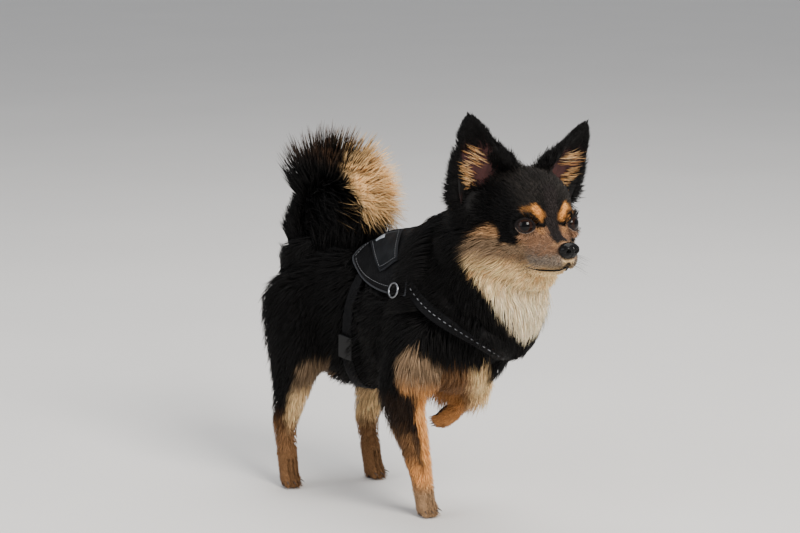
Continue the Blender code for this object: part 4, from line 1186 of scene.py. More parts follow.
class Skin:
    """The finished skin with the fields that the coat follows."""

    def __init__(self, mesh, flesh):
        self.mesh = mesh
        self.places, self.tris = arrays(mesh)
        self.normals = vertex_normals(mesh)
        self.edges = edges_of(mesh)
        self.tree = tree_of(self.places, self.tris)
        self.regions = flesh.region(self.places)
        core = curve_through(TAIL_PATH, 24)[None, 4:]
        near_tail = np.linalg.norm(self.places[:, None] - core, axis=2).min(1)
        self.regions[near_tail < 0.0125] = "tail"
        self.regions[(self.regions == "tail") & (near_tail > 0.0180)] = "trunk"
        self.lie = self.make_lie()
        self.length = averaged(self.make_length(), self.edges, 10)
        height = cast(flesh.tree, self.places + self.normals * 1e-5, self.normals, 0.022)
        height = np.where(height >= 0.022, 0.006, height)
        self.cover = averaged(np.minimum(height, 0.014), self.edges, 6)
        self.free, self.hang, taller = self.make_feathers()
        self.height = averaged(height + taller, self.edges, 8)
        self.uv_tree, self.uv_tris, self.uv_corners = self.unwrap()

    def make_lie(self):
        """The way the hair lies over the skin: a field for each region, softened where they meet."""
        p, n = self.places, self.normals
        x, y, z = p.T
        side = np.sign(y)
        q = to_head(p)
        ahead = unit(q - [0.070, 0.0, -0.016])
        low = ramp(q[:, 2], -0.004, -0.018) * ramp(q[:, 0], 0.034, 0.010)
        away = ahead + np.stack([-0.25 + 0 * x, 0.25 * np.sign(q[:, 1]) * low, -0.40 * low], 1)
        under = ramp(q[:, 2], -0.034, -0.042) * ramp(q[:, 0], 0.05, 0.02)
        away = away + np.stack([-0.3 * under, 0 * x, -0.3 * under], 1)
        front = ramp(n[:, 0], -0.5, 0.15) * ramp(x, 0.040, 0.075)
        back = np.stack([-1 + 0 * x, 0.0 * side, -0.16 - 0.62 * np.abs(n[:, 1])], 1)
        back = mix(back, [0.10, 0.0, -1.0], ramp(n[:, 0], 0.15, 0.7))
        back = mix(back, [-0.30, 0.0, -1.0], ramp(n[:, 0], -0.25, -0.8))
        arm = unit(WRIST - ELBOW) + np.array([0.0, 0.0, -0.55])
        lifted = mix([-0.35, 0.0, -0.9], arm, ramp(x, -0.034, -0.012))
        thigh = mix([-0.45, 0.0, -0.95], [-0.15, 0.0, -1.0], ramp(z, 0.09, 0.07))
        radial = unit((p - TAIL_CURL) * [1, 0, 1] + 1e-9)
        tangent = np.stack([radial[:, 2], 0 * x, -radial[:, 0]], 1)
        flow = {
            "head": away @ HEAD_TURN.T,
            "neck": mix(sided(side, -0.85, 0.12, -0.62), sided(side, 0.16, 0.05, -1), front),
            "trunk": mix(back, [-0.8, 0.0, -0.5], ramp(n[:, 2], -0.5, -0.9)),
            "foreleg_right": np.array([-0.30, 0.0, -1.0]) + 0.25 * n,
            "foreleg_left": mix(lifted, paw_axes("forepaw_left")[0], ramp(z, 0.100, 0.092)),
            "hindleg_right": thigh,
            "hindleg_left": thigh,
            "tail": mix([-0.15, 0.0, 1.0], 0.55 * radial + tangent, ramp(z, 0.20, 0.235)),
        }
        for name in PAW_NODES:
            toes, _, out = paw_axes(name)
            raised = name == "forepaw_left"
            pastern = 0 * z if raised else ramp(z, 0.014, 0.022)
            flow[name] = mix(toes * 0.9 - out * 0.45, [0.15, 0.0, -1.0], pastern)
        lie = np.zeros_like(p)
        for name, ways in flow.items():
            there = self.regions == name
            lie[there] = unit(ways)[there]
        lie = averaged(lie, self.edges, 22)
        lie = lie - n * (lie * n).sum(1, keepdims=True)
        return unit(averaged(unit(lie), self.edges, 3))

    def make_length(self):
        """How long the hair is."""
        p, n, r = self.places, self.normals, self.regions
        x, _, z = p.T
        q = to_head(p)
        length = np.full(len(p), 0.017)
        length += 0.004 * ramp(np.abs(n[:, 1]), 0.3, 0.8) + 0.003 * ramp(n[:, 2], -0.3, -0.8)
        length = np.where(r == "neck", 0.022 + 0.004 * ramp(n[:, 0], 0.2, 0.7), length)
        mane = ramp(x, 0.006, 0.018) * ramp(x, 0.050, 0.036) * ramp(n[:, 2], -0.1, 0.4)
        length = np.where(np.isin(r, ["neck", "trunk"]), np.maximum(length, 0.031 * mane), length)
        head = along_table(HEAD_LENGTH, q[:, 0])
        ruff = ramp(q[:, 0], 0.020, -0.004) * ramp(q[:, 2], -0.002, -0.018)
        throat = ramp(q[:, 2], -0.040, -0.050) * ramp(q[:, 0], 0.036, 0.014)
        head = head + 0.010 * ruff + 0.006 * throat
        over, there = mouth_line(q)
        head = head * (1 - 0.55 * ramp(np.abs(over), 0.0045, 0.0015) * there)
        length = np.where(r == "head", head, length)
        legs = np.interp(z, [0.02, 0.05, 0.08, 0.12], [0.0045, 0.0065, 0.0105, 0.0155])
        behind = ramp(n[:, 0], 0.0, -0.7)
        length = np.where(np.isin(r, LEG_NODES), legs * (1 + 0.55 * behind), length)
        lifted = np.interp(x, [-0.04, 0.0, 0.03], [0.015, 0.0115, 0.010])
        lifted = lifted * (0.8 + 0.5 * ramp(n[:, 2], 0.2, -0.6))
        lifted *= 1 - 0.5 * ramp(z, 0.098, 0.088)
        length = np.where(r == "foreleg_left", lifted, length)
        length = np.where(np.isin(r, PAW_NODES), 0.0030, length)
        return np.where(r == "tail", 0.016 + 0.02 * ramp(z, 0.2, 0.24), length)

    def make_feathers(self):
        """Where long hair leaves the body's surface: how freely, which way, and how much higher."""
        p, n, r = self.places, self.normals, self.regions
        x, y, z = p.T
        q = to_head(p)
        free, taller = np.zeros(len(p)), np.zeros(len(p))
        hang = np.tile([-0.3, 0.0, -0.95], (len(p), 1))
        side = np.sign(y - SHIFT[1])

        def lay(where, share, way, rise=0.0):
            nonlocal free, hang, taller
            hang = mix(hang, way, ramp(where, 0.0, 0.3))
            free = np.maximum(free, where * share)
            taller = np.maximum(taller, where * rise)

        belly = (r == "trunk") * ramp(n[:, 2], -0.45, -0.85)
        lay(belly, 0.45, [-0.6, 0.0, -0.8])
        chest = (r == "trunk") * ramp(n[:, 0], 0.35, 0.8) * ramp(z, 0.175, 0.15)
        lay(chest, 0.40, [0.2, 0.0, -1.0])
        above_hock = ramp(z, 0.060, 0.085)
        hind = np.isin(r, ["hindleg_right", "hindleg_left"])
        lay(hind * ramp(n[:, 0], -0.25, -0.75) * above_hock, 0.5, [-0.4, 0.0, -0.9], 0.002)
        fore = r == "foreleg_right"
        lay(fore * ramp(n[:, 0], -0.2, -0.7) * above_hock, 0.55, [-0.4, 0.0, -0.9])
        lay(fore * ramp(n[:, 0], 0.0, 0.5) * ramp(z, 0.092, 0.104), 0.5, [0.25, 0.0, -0.95])
        arm = (r == "foreleg_left") * ramp(n[:, 2], 0.15, -0.45) * ramp(z, 0.090, 0.098)
        lay(arm, 0.85, [-0.30, -0.10, -0.95], 0.003)
        head = np.isin(r, ["head", "neck"])
        behind = head * ramp(q[:, 0], -0.004, -0.022) * ramp(q[:, 2], -0.050, -0.030)
        behind = behind * ramp(q[:, 2], 0.030, 0.018)
        swept = from_head_way(sided(side, -0.75, 0.45, -0.55))
        lay(behind * ramp(np.abs(q[:, 1]), 0.008, 0.020), 0.55, swept, 0.005)
        ruff = (r == "head") * ramp(q[:, 0], 0.016, -0.006) * ramp(q[:, 2], -0.008, -0.022)
        lay(ruff, 0.30, from_head_way(sided(side, -0.5, 0.5, -0.7)), 0.002)
        base = ramp(ear_distance(p), 0.0075, 0.0035) * head
        above = base * ramp(q[:, 2], 0.014, 0.022)
        lay(above, 0.75, from_head_way(sided(side, -0.25, 0.35, 0.9)) + 0.35 * n)
        below = base * ramp(q[:, 2], 0.018, 0.010)
        lay(below, 0.60, from_head_way(sided(side, -0.45, 0.35, -0.7)) + 0.35 * n)
        crown = head * ramp(n[:, 2], 0.35, 0.8) * ramp(q[:, 0], 0.022, 0.008)
        taller = np.maximum(taller, 0.0022 * crown)
        fringe = (0.0200 + 0.007 * ramp(x, 0.020, 0.004)) * arm
        for longer in (0.0120 * above + 0.0130 * below, 0.0085 * crown, 0.0190 * behind, fringe):
            self.length = np.maximum(self.length, longer)
        return averaged(free, self.edges, 4), unit(averaged(hang, self.edges, 4)), taller

    def unwrap(self):
        """A low copy of the skin laid out flat, to place each tuft's patch by its root."""
        low = applied(self.mesh, ("DECIMATE", {"ratio": 9000 / len(self.tris)}))
        obj = bpy.data.objects.new("unwrap", low)
        bpy.context.scene.collection.objects.link(obj)
        bpy.context.view_layer.objects.active = obj
        obj.select_set(True)
        bpy.ops.object.mode_set(mode="EDIT")
        bpy.ops.mesh.select_all(action="SELECT")
        bpy.ops.uv.smart_project(angle_limit=math.radians(70), island_margin=0.004)
        bpy.ops.object.mode_set(mode="OBJECT")
        v, t = arrays(low)
        loops = np.empty(len(low.loop_triangles) * 3, np.int32)
        low.loop_triangles.foreach_get("loops", loops)
        uv = np.empty(len(low.loops) * 2, np.float32)
        low.uv_layers[0].uv.foreach_get("vector", uv)
        corners = uv.reshape(-1, 2)[loops].reshape(-1, 3, 2)
        bpy.data.objects.remove(obj)
        return tree_of(v, t), v[t], corners

    def uv_at(self, points):
        """Where places lie on the unwrap, from their shares of the nearest low triangle."""
        spots, _, faces = nearest(self.uv_tree, points)
        a, b, c = (self.uv_tris[faces][:, k] for k in range(3))
        ab, ac, ap = b - a, c - a, spots - a
        d00, d01, d11 = (ab * ab).sum(1), (ab * ac).sum(1), (ac * ac).sum(1)
        d20, d21 = (ap * ab).sum(1), (ap * ac).sum(1)
        under = np.maximum(d00 * d11 - d01 * d01, 1e-18)
        v = (d11 * d20 - d01 * d21) / under
        w = (d00 * d21 - d01 * d20) / under
        shares = np.stack([1 - v - w, v, w], 1)[..., None]
        return (self.uv_corners[faces] * shares).sum(1)

    def at(self, face, shares, *fields):
        """Fields at places given as faces and shares of their corners."""
        found = []
        for field in fields:
            weights = shares.reshape(len(face), 3, *[1] * (field.ndim - 1))
            found.append((field[self.tris[face]] * weights).sum(1))
        return found

    def corner_mean(self, face, field):
        return field[self.tris[face]].mean(1)


def gather(tips, roots, cell, pull):
    """Draws the tips of neighbouring tufts together into locks."""
    key = np.floor(roots / cell + 0.5 * rng.random(3)).astype(np.int64)
    _, lock = np.unique(key, axis=0, return_inverse=True)
    lock = lock.ravel()
    count = np.bincount(lock)
    mean = np.stack([np.bincount(lock, tips[:, k]) / count for k in range(3)], 1)
    return tips + (mean[lock] - tips) * pull[:, None]


def swept_place(root, tip, up, region, length, height):
    """Where a tuft takes its colour: near its tip, raised to the coat's height."""
    swept = (tip - root) * np.interp(length, [0.005, 0.016], [0.6, 0.82])[:, None]
    swept += up * np.maximum(np.minimum(height, 0.013) - (swept * up).sum(1), 0)[:, None]
    hanging = (region == "neck") & (tip[:, 2] < root[:, 2])
    swept[:, 2] = np.where(hanging, np.minimum(swept[:, 2], 0.6 * (tip - root)[:, 2]), swept[:, 2])
    return root + swept


def grow(skin, name, where, count, width, segments, *, dense=None, cell=0.006, clump=0.45, lift=1.0,
         frizz=0.10, guard=None, harness=None):
    """One piece of coat over the parts of the skin that where picks."""
    weight = where[skin.tris].mean(1) * (1.0 if dense is None else dense[skin.tris].mean(1))
    face, shares = sampled(skin.places, skin.tris, weight, count)
    fields = skin.at(
        face, shares, skin.places, skin.normals, skin.lie, skin.length, skin.height, skin.free, skin.hang
    )
    root, up, lie, *others = fields
    up = unit(up)
    lie = unit(lie - up * (lie * up).sum(1, keepdims=True))
    keep = np.ones(count, bool) if guard is None else guard(root, up)
    root, up, lie, length, height, free, hang = (a[keep] for a in (root, up, lie, *others))
    count = len(root)
    swing = rng.normal(0, 0.16, count)[:, None]
    lie = unit(lie + np.cross(up, lie) * swing)
    length = length * rng.uniform(0.72, 1.18, count)
    rise = lift * rng.uniform(0.72, 1.06, count) * np.where(rng.random(count) < 0.06, 1.35, 1.0)
    half, half_up, at_half = nearest(skin.tree, root + lie * (length * 0.5)[:, None])
    half_lie = unit(skin.corner_mean(at_half, skin.lie))
    half_lie = unit(half_lie * 0.65 + lie * 0.35)
    last, last_up, at_last = nearest(skin.tree, half + half_lie * (length * 0.5)[:, None])
    half_high = np.minimum(skin.corner_mean(at_half, skin.height), height * 1.6 + 0.001)
    last_high = np.minimum(skin.corner_mean(at_last, skin.height), height * 2.0 + 0.001)
    middle = half + half_up * (half_high * 0.80 * rise)[:, None]
    tip = last + last_up * (last_high * rise)[:, None]
    region = skin.regions[skin.tris[at_half, 0]]
    free = np.clip(free * rng.uniform(0.6, 1.3, count), 0, 1)
    loose = unit(hang + up * 0.25 + rng.normal(0, 0.10, (count, 3)))
    middle = mix(middle, root + unit(loose + up * 0.6) * (length * 0.5)[:, None], free)
    tip = mix(tip, root + loose * length[:, None], free)
    tip += rng.normal(0, 1, (count, 3)) * (frizz * length * 0.5)[:, None]
    tip = gather(tip, root, cell, clump * rng.uniform(0.5, 1.0, count))
    if harness is not None:
        root, middle, tip, up, region, length, height = harness(root, middle, tip, up, region, length, height)
        count = len(root)
    for spot in (tip, middle):
        spot[:, 2] = np.maximum(spot[:, 2], OFF_FLOOR)
    colour = marking(swept_place(root, tip, up, region, length, height), region)
    colour = colour * np.exp(rng.normal(0, 0.20, count))[:, None]
    tip_colour = mix(colour, np.minimum(colour * 1.35 + 0.004, 0.95), rng.random(count))
    mesh = tuft_mesh(
        root - up * ROOT_DEPTH, middle, tip, up, width * rng.uniform(0.7, 1.25, count), segments,
        colour, tip_colour, skin.uv_at(root),
    )
    return new_piece(name, mesh, COAT, "coat")


# ---- Harness ----------------------------------------------------------------------------------------
CHEST_AXIS = 0.165
AXIS_Y = SHIFT[1]
STRAP_CORE = placed(0.085, 0.0, 0.165)  # the chest strap runs round this place
SHEET_RIM = 0.25  # how far a sheet's rim is rounded down, as a share of its thickness


class Wrap:
    """Places on one CAD piece of the harness, by X and the angle round the chest from straight up."""

    def __init__(self, node):
        self.places, tris = arrays(from_bmesh(welded(node)))
        self.tree = tree_of(self.places, tris)

    def at(self, x, angle):
        turn = math.radians(angle)
        way = Vector((0.0, math.sin(turn), math.cos(turn)))
        axis = Vector((x, AXIS_Y, CHEST_AXIS))
        place = self.tree.ray_cast(axis + way * 0.12, -way, 0.14)[0]
        if place is None:
            place = axis + way * self.reach(x, angle)
        return np.array(place[:])

    def reach(self, x, angle):
        """The distance from the axis where the piece lies nearest in X and angle."""
        rel = self.places - [0, AXIS_Y, CHEST_AXIS]
        turn = np.degrees(np.arctan2(rel[:, 1], rel[:, 2]))
        far = ((self.places[:, 0] - x) * 1000) ** 2 + (((turn - angle + 180) % 360 - 180) * 0.9) ** 2
        few = np.argsort(far)[:8]
        return float(np.hypot(rel[few, 1], rel[few, 2]).max())


def wrapped_grid(wrap, rows, soften):
    """Points for rows of (x, angle) pairs, softened so that no facet shows."""
    grid = np.array([[wrap.at(x, a) for x, a in row] for row in rows])
    for _ in range(soften):
        old, inner = grid, grid.copy()
        inner[1:-1, 1:-1] = 0.5 * old[1:-1, 1:-1] + 0.125 * (
            old[:-2, 1:-1] + old[2:, 1:-1] + old[1:-1, :-2] + old[1:-1, 2:]
        )
        for end in (0, -1):
            inner[end, 1:-1] = 0.5 * old[end, 1:-1] + 0.25 * (old[end, :-2] + old[end, 2:])
            inner[1:-1, end] = 0.5 * old[1:-1, end] + 0.25 * (old[:-2, end] + old[2:, end])
        grid = inner
    return grid


def outward(grid):
    """The way out of the chest at each point of a grid, square to the sheet."""
    n = unit(np.cross(np.gradient(grid, axis=0), np.gradient(grid, axis=1)))
    axis = np.full(grid.shape[:2], AXIS_Y), np.full(grid.shape[:2], CHEST_AXIS)
    away = grid - np.stack([grid[..., 0], *axis], -1)
    return n * np.sign((n * away).sum(-1).sum())


def from_ends(count):
    """How many steps each of count places is from the nearer end."""
    return np.minimum(np.arange(count), np.arange(count)[::-1])


def sheet_mesh(grid, thick, puff):
    """A closed panel: the grid is its outer face, with rounded edges and a soft crown."""
    rows, columns = grid.shape[:2]
    n = outward(grid)
    down, across = from_ends(rows), from_ends(columns)
    u, v = down / max(rows - 1, 1) * 2, across / max(columns - 1, 1) * 2
    crown = np.minimum.outer(u, np.ones(columns)) * np.minimum.outer(np.ones(rows), v)
    crown = np.clip(crown, 0, 1) ** 0.3
    lowered = np.where(np.minimum.outer(down, across) == 0, thick * SHEET_RIM, 0.0)
    outer = grid + n * (puff * crown - lowered)[..., None]
    inner = grid - n * (thick - lowered)[..., None]
    size = rows * columns
    index = np.arange(size).reshape(rows, columns)
    quads = np.stack([index[:-1, :-1], index[1:, :-1], index[1:, 1:], index[:-1, 1:]], -1).reshape(-1, 4)
    a, b, c = grid[0, 0], grid[1, 0], grid[1, 1]
    if np.cross(b - a, c - a) @ n[0, 0] < 0:
        quads = quads[:, ::-1]
    faces = [*quads.tolist(), *(quads[:, ::-1] + size).tolist()]
    ring = [*index[0, :], *index[1:, -1], *index[-1, -2::-1], *index[-2:0:-1, 0]]
    for i, j in zip(ring, ring[1:] + ring[:1]):
        faces.append([i, j, j + size, i + size])
    mesh = mesh_from(np.concatenate([outer.reshape(-1, 3), inner.reshape(-1, 3)]), faces)
    lengths = along_line(grid[:, columns // 2]), along_line(grid[rows // 2])
    flat = np.stack(np.meshgrid(*lengths, indexing="ij"), -1).reshape(-1, 2)
    set_map(mesh, "Weave", np.concatenate([flat, flat]))
    return outside_out(mesh)


def outside_out(mesh, weld=None):
    """A closed mesh with all its faces turned outward, and vertices nearer than weld made one."""
    bm = bmesh.new()
    bm.from_mesh(mesh)
    if weld:
        bmesh.ops.remove_doubles(bm, verts=bm.verts, dist=weld)
    bmesh.ops.recalc_face_normals(bm, faces=bm.faces)
    return smooth(from_bmesh(bm))


def path_on(grid, inset, rise):
    """A closed line round a grid at an inset in cells, raised off it, and the ways out along it."""
    n = outward(grid)
    a, b = inset, grid.shape[0] - 1 - inset
    c, d = inset, grid.shape[1] - 1 - inset
    index = [(a, k) for k in range(c, d)] + [(k, d) for k in range(a, b)]
    index += [(b, k) for k in range(d, c, -1)] + [(k, c) for k in range(b, a, -1)]
    return np.array([grid[i, j] + n[i, j] * rise for i, j in index]), np.array([n[i, j] for i, j in index])


def bound_edge(name, grid, rise, sides, material, slot):
    """The round cord or binding along a panel's edge."""
    mesh = smooth(tube(path_on(grid, 0, rise)[0], 0.0008, sides, closed=True))
    new_piece(name, mesh, material, slot)


def stitches(path, normals, length, gap, radius, closed=True):
    """Short rounded stitches along a line."""
    if closed:
        path, normals = (np.concatenate([line, line[:1]]) for line in (path, normals))
    along = along_line(path)
    hump = np.array([-1.0, 0.3, 0.7, 0.3, -1.0])[:, None] * radius
    meshes = []
    for k in range(int(along[-1] / (length + gap))):
        s = np.linspace(0, length, 5) + k * (length + gap)
        spot = np.stack([np.interp(s, along, path[:, c]) for c in range(3)], 1)
        out = unit(np.stack([np.interp(s, along, normals[:, c]) for c in range(3)], 1))
        meshes.append(tube(spot + out * hump, radius, 5))
    return smooth(joined(meshes))


SMOOTH_ALL = 179.0  # a crease angle that keeps no edge sharp


def rounded(mesh, levels):
    return smooth(applied(mesh, ("SUBSURF", {"levels": levels, "render_levels": levels})))


def refined(node, levels=2, crease=50.0):
    """A node's shape with its facets rounded, and its edges over crease degrees kept."""
    bm = welded(node)
    flat, square = math.radians(25), math.radians(40)
    bmesh.ops.join_triangles(bm, faces=bm.faces, angle_face_threshold=flat, angle_shape_threshold=square)
    layer = bm.edges.layers.float.get("crease_edge") or bm.edges.layers.float.new("crease_edge")
    for edge in bm.edges:
        if len(edge.link_faces) == 2 and edge.calc_face_angle(0.0) > math.radians(crease):
            edge[layer] = 0.75
    return rounded(from_bmesh(bm), levels)


# ---- Build ------------------------------------------------------------------------------------------
FABRIC_EDGE = cloth_look("patch_binding", srgb(42, 44, 49), 0.0010, srgb(40, 42, 45), 0.6)
COAT = coat_look()
SKIN = skin_look()
FABRIC = cloth_look("harness_fabric", srgb(11, 11, 13), 0.0011, srgb(26, 26, 28))
WEBBING = cloth_look("harness_webbing", srgb(10, 10, 12), 0.0014, srgb(24, 24, 26), 0.7)
PATCH = cloth_look("harness_patch", srgb(18, 20, 23), 0.0009, srgb(30, 32, 35), 0.62)
SILVER = cloth_look("reflective_tape", srgb(176, 182, 190), 0.0007, srgb(120, 124, 130), 0.42)
PIPING = piping_look()
THREAD = thread_look()
STEEL = steel_look()
PLASTIC = plastic_look()
HORN = horn_look()
LEATHER = leather_look("nose_leather", srgb(9, 8, 8), 1500.0, 0.42)
EYE = eye_look()
EAR = ear_look()
WHISKER = whisker_look()


def build_saddle():
    """The saddle's panel over the back, with its piping and stitching. Returns the panel."""
    rear, widest, front, drop = -0.018, 0.062, 0.078, 60.0  # X three times, and degrees down each side
    first = widest - (widest - rear) * math.cos(math.pi / 7) + 0.0007
    curved = np.radians(np.linspace(180 / 7, 90, 26)).tolist()
    outline = [(widest - (widest - rear) * math.cos(turn), drop * math.sin(turn)) for turn in curved]
    outline += [(widest + (front - widest) * step / 4, drop) for step in (1, 2, 3, 4)]
    rows = []
    for x, wide in outline:
        x = min(max(x, first), front - 0.0007)
        rows.append([(x + SHIFT[0], 0.985 * wide * c / 22) for c in range(-22, 23)])
    grid = wrapped_grid(Wrap("saddle"), rows, 4)
    panel = new_piece("saddle_panel", sheet_mesh(grid, 0.0030, 0.0004), FABRIC, "harness_fabric", "saddle")
    bound_edge("saddle_piping", grid, -0.0008, 8, PIPING, "harness_fabric")
    mesh = stitches(*path_on(grid, 2, 0.0004), 0.0021, 0.0011, 0.00022)
    new_piece("saddle_stitching", mesh, THREAD, "harness_fabric")
    return panel


def build_patch(side, name):
    """A plain fabric patch on the saddle, with its binding, stitching and pale tape. Returns the patch."""
    corners = ((-0.008, 8.0), (0.036, 8.0), (0.062, 37.0), (0.040, 43.0))  # X and degrees from the top
    rows = []
    for t in np.arange(17) / 16:
        top = [a + (b - a) * t for a, b in zip(corners[0], corners[1])]
        low = [a + (b - a) * t for a, b in zip(corners[3], corners[2])]
        row = []
        for u in np.arange(13) / 12:
            x, angle = (a + (b - a) * (0.03 + 0.94 * u) for a, b in zip(top, low))
            row.append((0.0325 + (x - 0.0325) * 0.96 + SHIFT[0], side * angle))
        rows.append(row)
    grid = wrapped_grid(Wrap(f"label_{name}"), rows, 3)
    patch = new_piece(f"patch_{name}", sheet_mesh(grid, 0.0012, 0.0003), PATCH, "label", f"label_{name}")
    tape = grid[3:9, 1:4] + outward(grid)[3:9, 1:4] * 0.0009
    new_piece(f"tape_{name}", sheet_mesh(tape, 0.0006, 0.0001), SILVER, "label")
    bound_edge(f"patch_binding_{name}", grid, -0.0004, 6, FABRIC_EDGE, "label")
    mesh = stitches(*path_on(grid, 1, 0.0003), 0.0017, 0.0010, 0.00018)
    new_piece(f"patch_stitching_{name}", mesh, THREAD, "label")
    return patch


def build_harness():
    """The whole harness. Returns the pieces that the coat keeps out of."""
    pieces = [build_saddle()] + [build_patch(side, name) for side, name in SIDE_NAMES.items()]
    for node, name in (("chest_strap", "chest_webbing"), ("belly_strap", "girth_webbing")):
        mesh = refined(node)
        strap_weave(mesh, node)
        pieces.append(new_piece(name, mesh, WEBBING, "harness_fabric", node))
    mesh = rounded(from_bmesh(welded("belly_buckle")), 2)
    pieces.append(new_piece("side_release_buckle", mesh, PLASTIC, "buckle_plastic", "belly_buckle"))
    for node in ("strap_ring_right", "strap_ring_left", "lead_ring"):
        new_piece(f"steel_{node}", refined(node, 2, SMOOTH_ALL), STEEL, "ring_steel", node)
    build_dashes()
    return pieces


def strap_weave(mesh, node):
    """A map in metres along and across a strap."""
    v, _ = arrays(mesh)
    if node == "chest_strap":
        along = np.arctan2(v[:, 1] - STRAP_CORE[1], v[:, 0] - STRAP_CORE[0]) * 0.06
        across = v[:, 2] * 0.8
    else:
        along = np.arctan2(v[:, 1] - AXIS_Y, v[:, 2] - CHEST_AXIS) * 0.05
        across = v[:, 0]
    set_map(mesh, "Weave", np.stack([along, across], 1))


def build_dashes():
    """The row of pale dashes along the chest strap."""
    tree = tree_of(*arrays(from_bmesh(welded("chest_strap"))))
    spots, outs = [], []
    for angle in np.linspace(-101, 101, 90):
        rise = math.radians(-20.0 + 55.0 * (abs(angle) / 90.0) ** 0.95)
        turn = math.radians(angle)
        way = np.array([math.cos(turn) * math.cos(rise), math.sin(turn) * math.cos(rise), math.sin(rise)])
        place = tree.ray_cast(Vector(STRAP_CORE + way * 0.12), Vector(-way), 0.13)[0]
        if place is not None:
            spots.append(np.array(place[:]) + way * 0.0003)
            outs.append(way)
    mesh = stitches(np.array(spots), np.array(outs), 0.0026, 0.0028, 0.00038, closed=False)
    new_piece("chest_dashes", mesh, THREAD, "harness_fabric")


def build_eyes():
    """The eyeballs, each with a clear bulge in front and a map round the gaze for its iris."""
    rings, turns = 40, 56
    for side, node in EYES.items():
        gaze, along, up = eye_axes(side)
        v, ring = [], []
        for angle in (math.pi * i / rings for i in range(rings + 1)):
            bulge = 0.0007 * max(0.0, math.cos(min(angle / 0.72, math.pi / 2))) ** 1.2
            for turn in (2 * math.pi * k / turns for k in range(turns)):
                away = math.cos(turn) * along + math.sin(turn) * up
                way = math.cos(angle) * gaze + math.sin(angle) * away
                v.append(EYE_CENTRES[side] + (EYE_RADIUS - 0.0002 + bulge) * way)
                ring.append(angle / (math.pi / 2))
        faces = []
        for i in range(rings):
            for k in range(turns):
                j = (k + 1) % turns
                faces.append((i * turns + k, (i + 1) * turns + k, (i + 1) * turns + j, i * turns + j))
        mesh = mesh_from(v, faces)
        layer = mesh.attributes.new("ring", "FLOAT", "POINT")
        layer.data.foreach_set("value", np.array(ring, np.float32))
        set_map(mesh, "Iris", np.stack([np.tile(np.arange(turns) / turns, rings + 1), np.array(ring)], 1))
        new_piece(f"eyeball_{SIDE_NAMES[side]}", outside_out(mesh, 1e-6), EYE, "eye", node)


def build_nose():
    """The nose leather, with its nostrils, their slits and wings, and the groove between them."""
    mesh = refined("nose", 3, SMOOTH_ALL)
    places, _ = arrays(mesh)
    q = to_head(places)
    push = np.full(len(q), 0.0004)
    for side in EYES:
        hole = np.array([0.0700, 0.0034 * side, -0.0212])
        push -= 0.0022 * np.exp(-((np.linalg.norm((q - hole) * [0.6, 1.0, 1.1], axis=1) / 0.0014) ** 2))
        slit = segment_distance(q, (0.0690, 0.0040 * side, -0.0222), (0.0640, 0.0074 * side, -0.0232))
        push -= 0.0011 * np.exp(-((slit / 0.0008) ** 2))
        wing = np.array([0.0690, 0.0052 * side, -0.0190])
        push += 0.0004 * np.exp(-((np.linalg.norm(q - wing, axis=1) / 0.0020) ** 2))
    groove = 0.0007 * np.exp(-((q[:, 1] / 0.0005) ** 2))
    push -= groove * ramp(q[:, 2], -0.0165, -0.0200) * ramp(q[:, 0], 0.064, 0.067)
    q = to_head(places + vertex_normals(mesh) * push[:, None])
    rel = q - NOSE_AT
    ahead = ramp(rel[:, 0], -0.001, 0.004)
    q[:, 0] -= ahead * (0.14 * rel[:, 0] + 0.30 * np.maximum(-rel[:, 2], 0))
    q[:, 2] -= 0.10 * np.maximum(rel[:, 2] - 0.002, 0)
    set_places(mesh, from_head(q))
    new_piece("nose_pad", smooth(mesh), LEATHER, "nose_leather", "nose")


def lip_spot(skin, start, way):
    """Where the line of the mouth lies on the skin, looked for from start along way."""
    height = start[2] - mouth_line(start[None])[0][0]
    for _ in range(2):
        eye = Vector(from_head(np.array([start[0], start[1], height])))
        hit = skin.tree.ray_cast(eye, Vector(from_head_way(way)), 0.06)[0]
        if hit is None:
            return None
        q = to_head(np.array(hit[:])[None])
        height = float(q[0, 2] - mouth_line(q)[0][0])
    deep = 0.0016 if start[0] < 0.030 else 0.0010
    return np.array(hit[:]) - from_head_way(way) * deep


def build_lips(skin):
    """The dark edge of the lips along the line of the mouth, round the front from corner to corner."""
    halves = []
    for side in EYES:
        looks = []
        for x in np.linspace(0.0185, 0.050, 16):
            looks.append((np.array([x, 0.05 * side, 0.0]), np.array([0.0, -1.0 * side, 0.0])))
        for turn in np.radians(np.linspace(80, 6, 14)):
            way = np.array([math.cos(turn), math.sin(turn) * side, 0.0])
            looks.append((np.array([0.050, 0.0, 0.0]) + 0.05 * way, -way))
        spots = [lip_spot(skin, start, way) for start, way in looks]
        halves.append(np.array([spot for spot in spots if spot is not None]))
    line = np.concatenate([halves[0], halves[1][::-1]])
    line = curve_through(line[::2], 90)
    ends = from_ends(91) / 14.0
    mesh = smooth(tube(line, 0.00025 + 0.00050 * np.clip(ends, 0, 1), 8))
    new_piece("lips", mesh, LEATHER, "nose_leather")


def build_claws():
    """All the claws as one piece, each a little shorter than its solid."""
    names = sorted(n for n in NODES if n.startswith("claw_"))
    meshes = []
    for name in names:
        claw = refined(name, 2, SMOOTH_ALL)
        places, _ = arrays(claw)
        _, leg, side, _ = name.split("_")
        away = np.linalg.norm(places - PAW_AT[f"{leg}paw_{side}"], axis=1)
        base = places[away < np.quantile(away, 0.15)].mean(0)
        set_places(claw, base + (places - base) * 0.68)
        meshes.append(claw)
    new_piece("claws", smooth(joined(meshes)), HORN, "claw", *names)


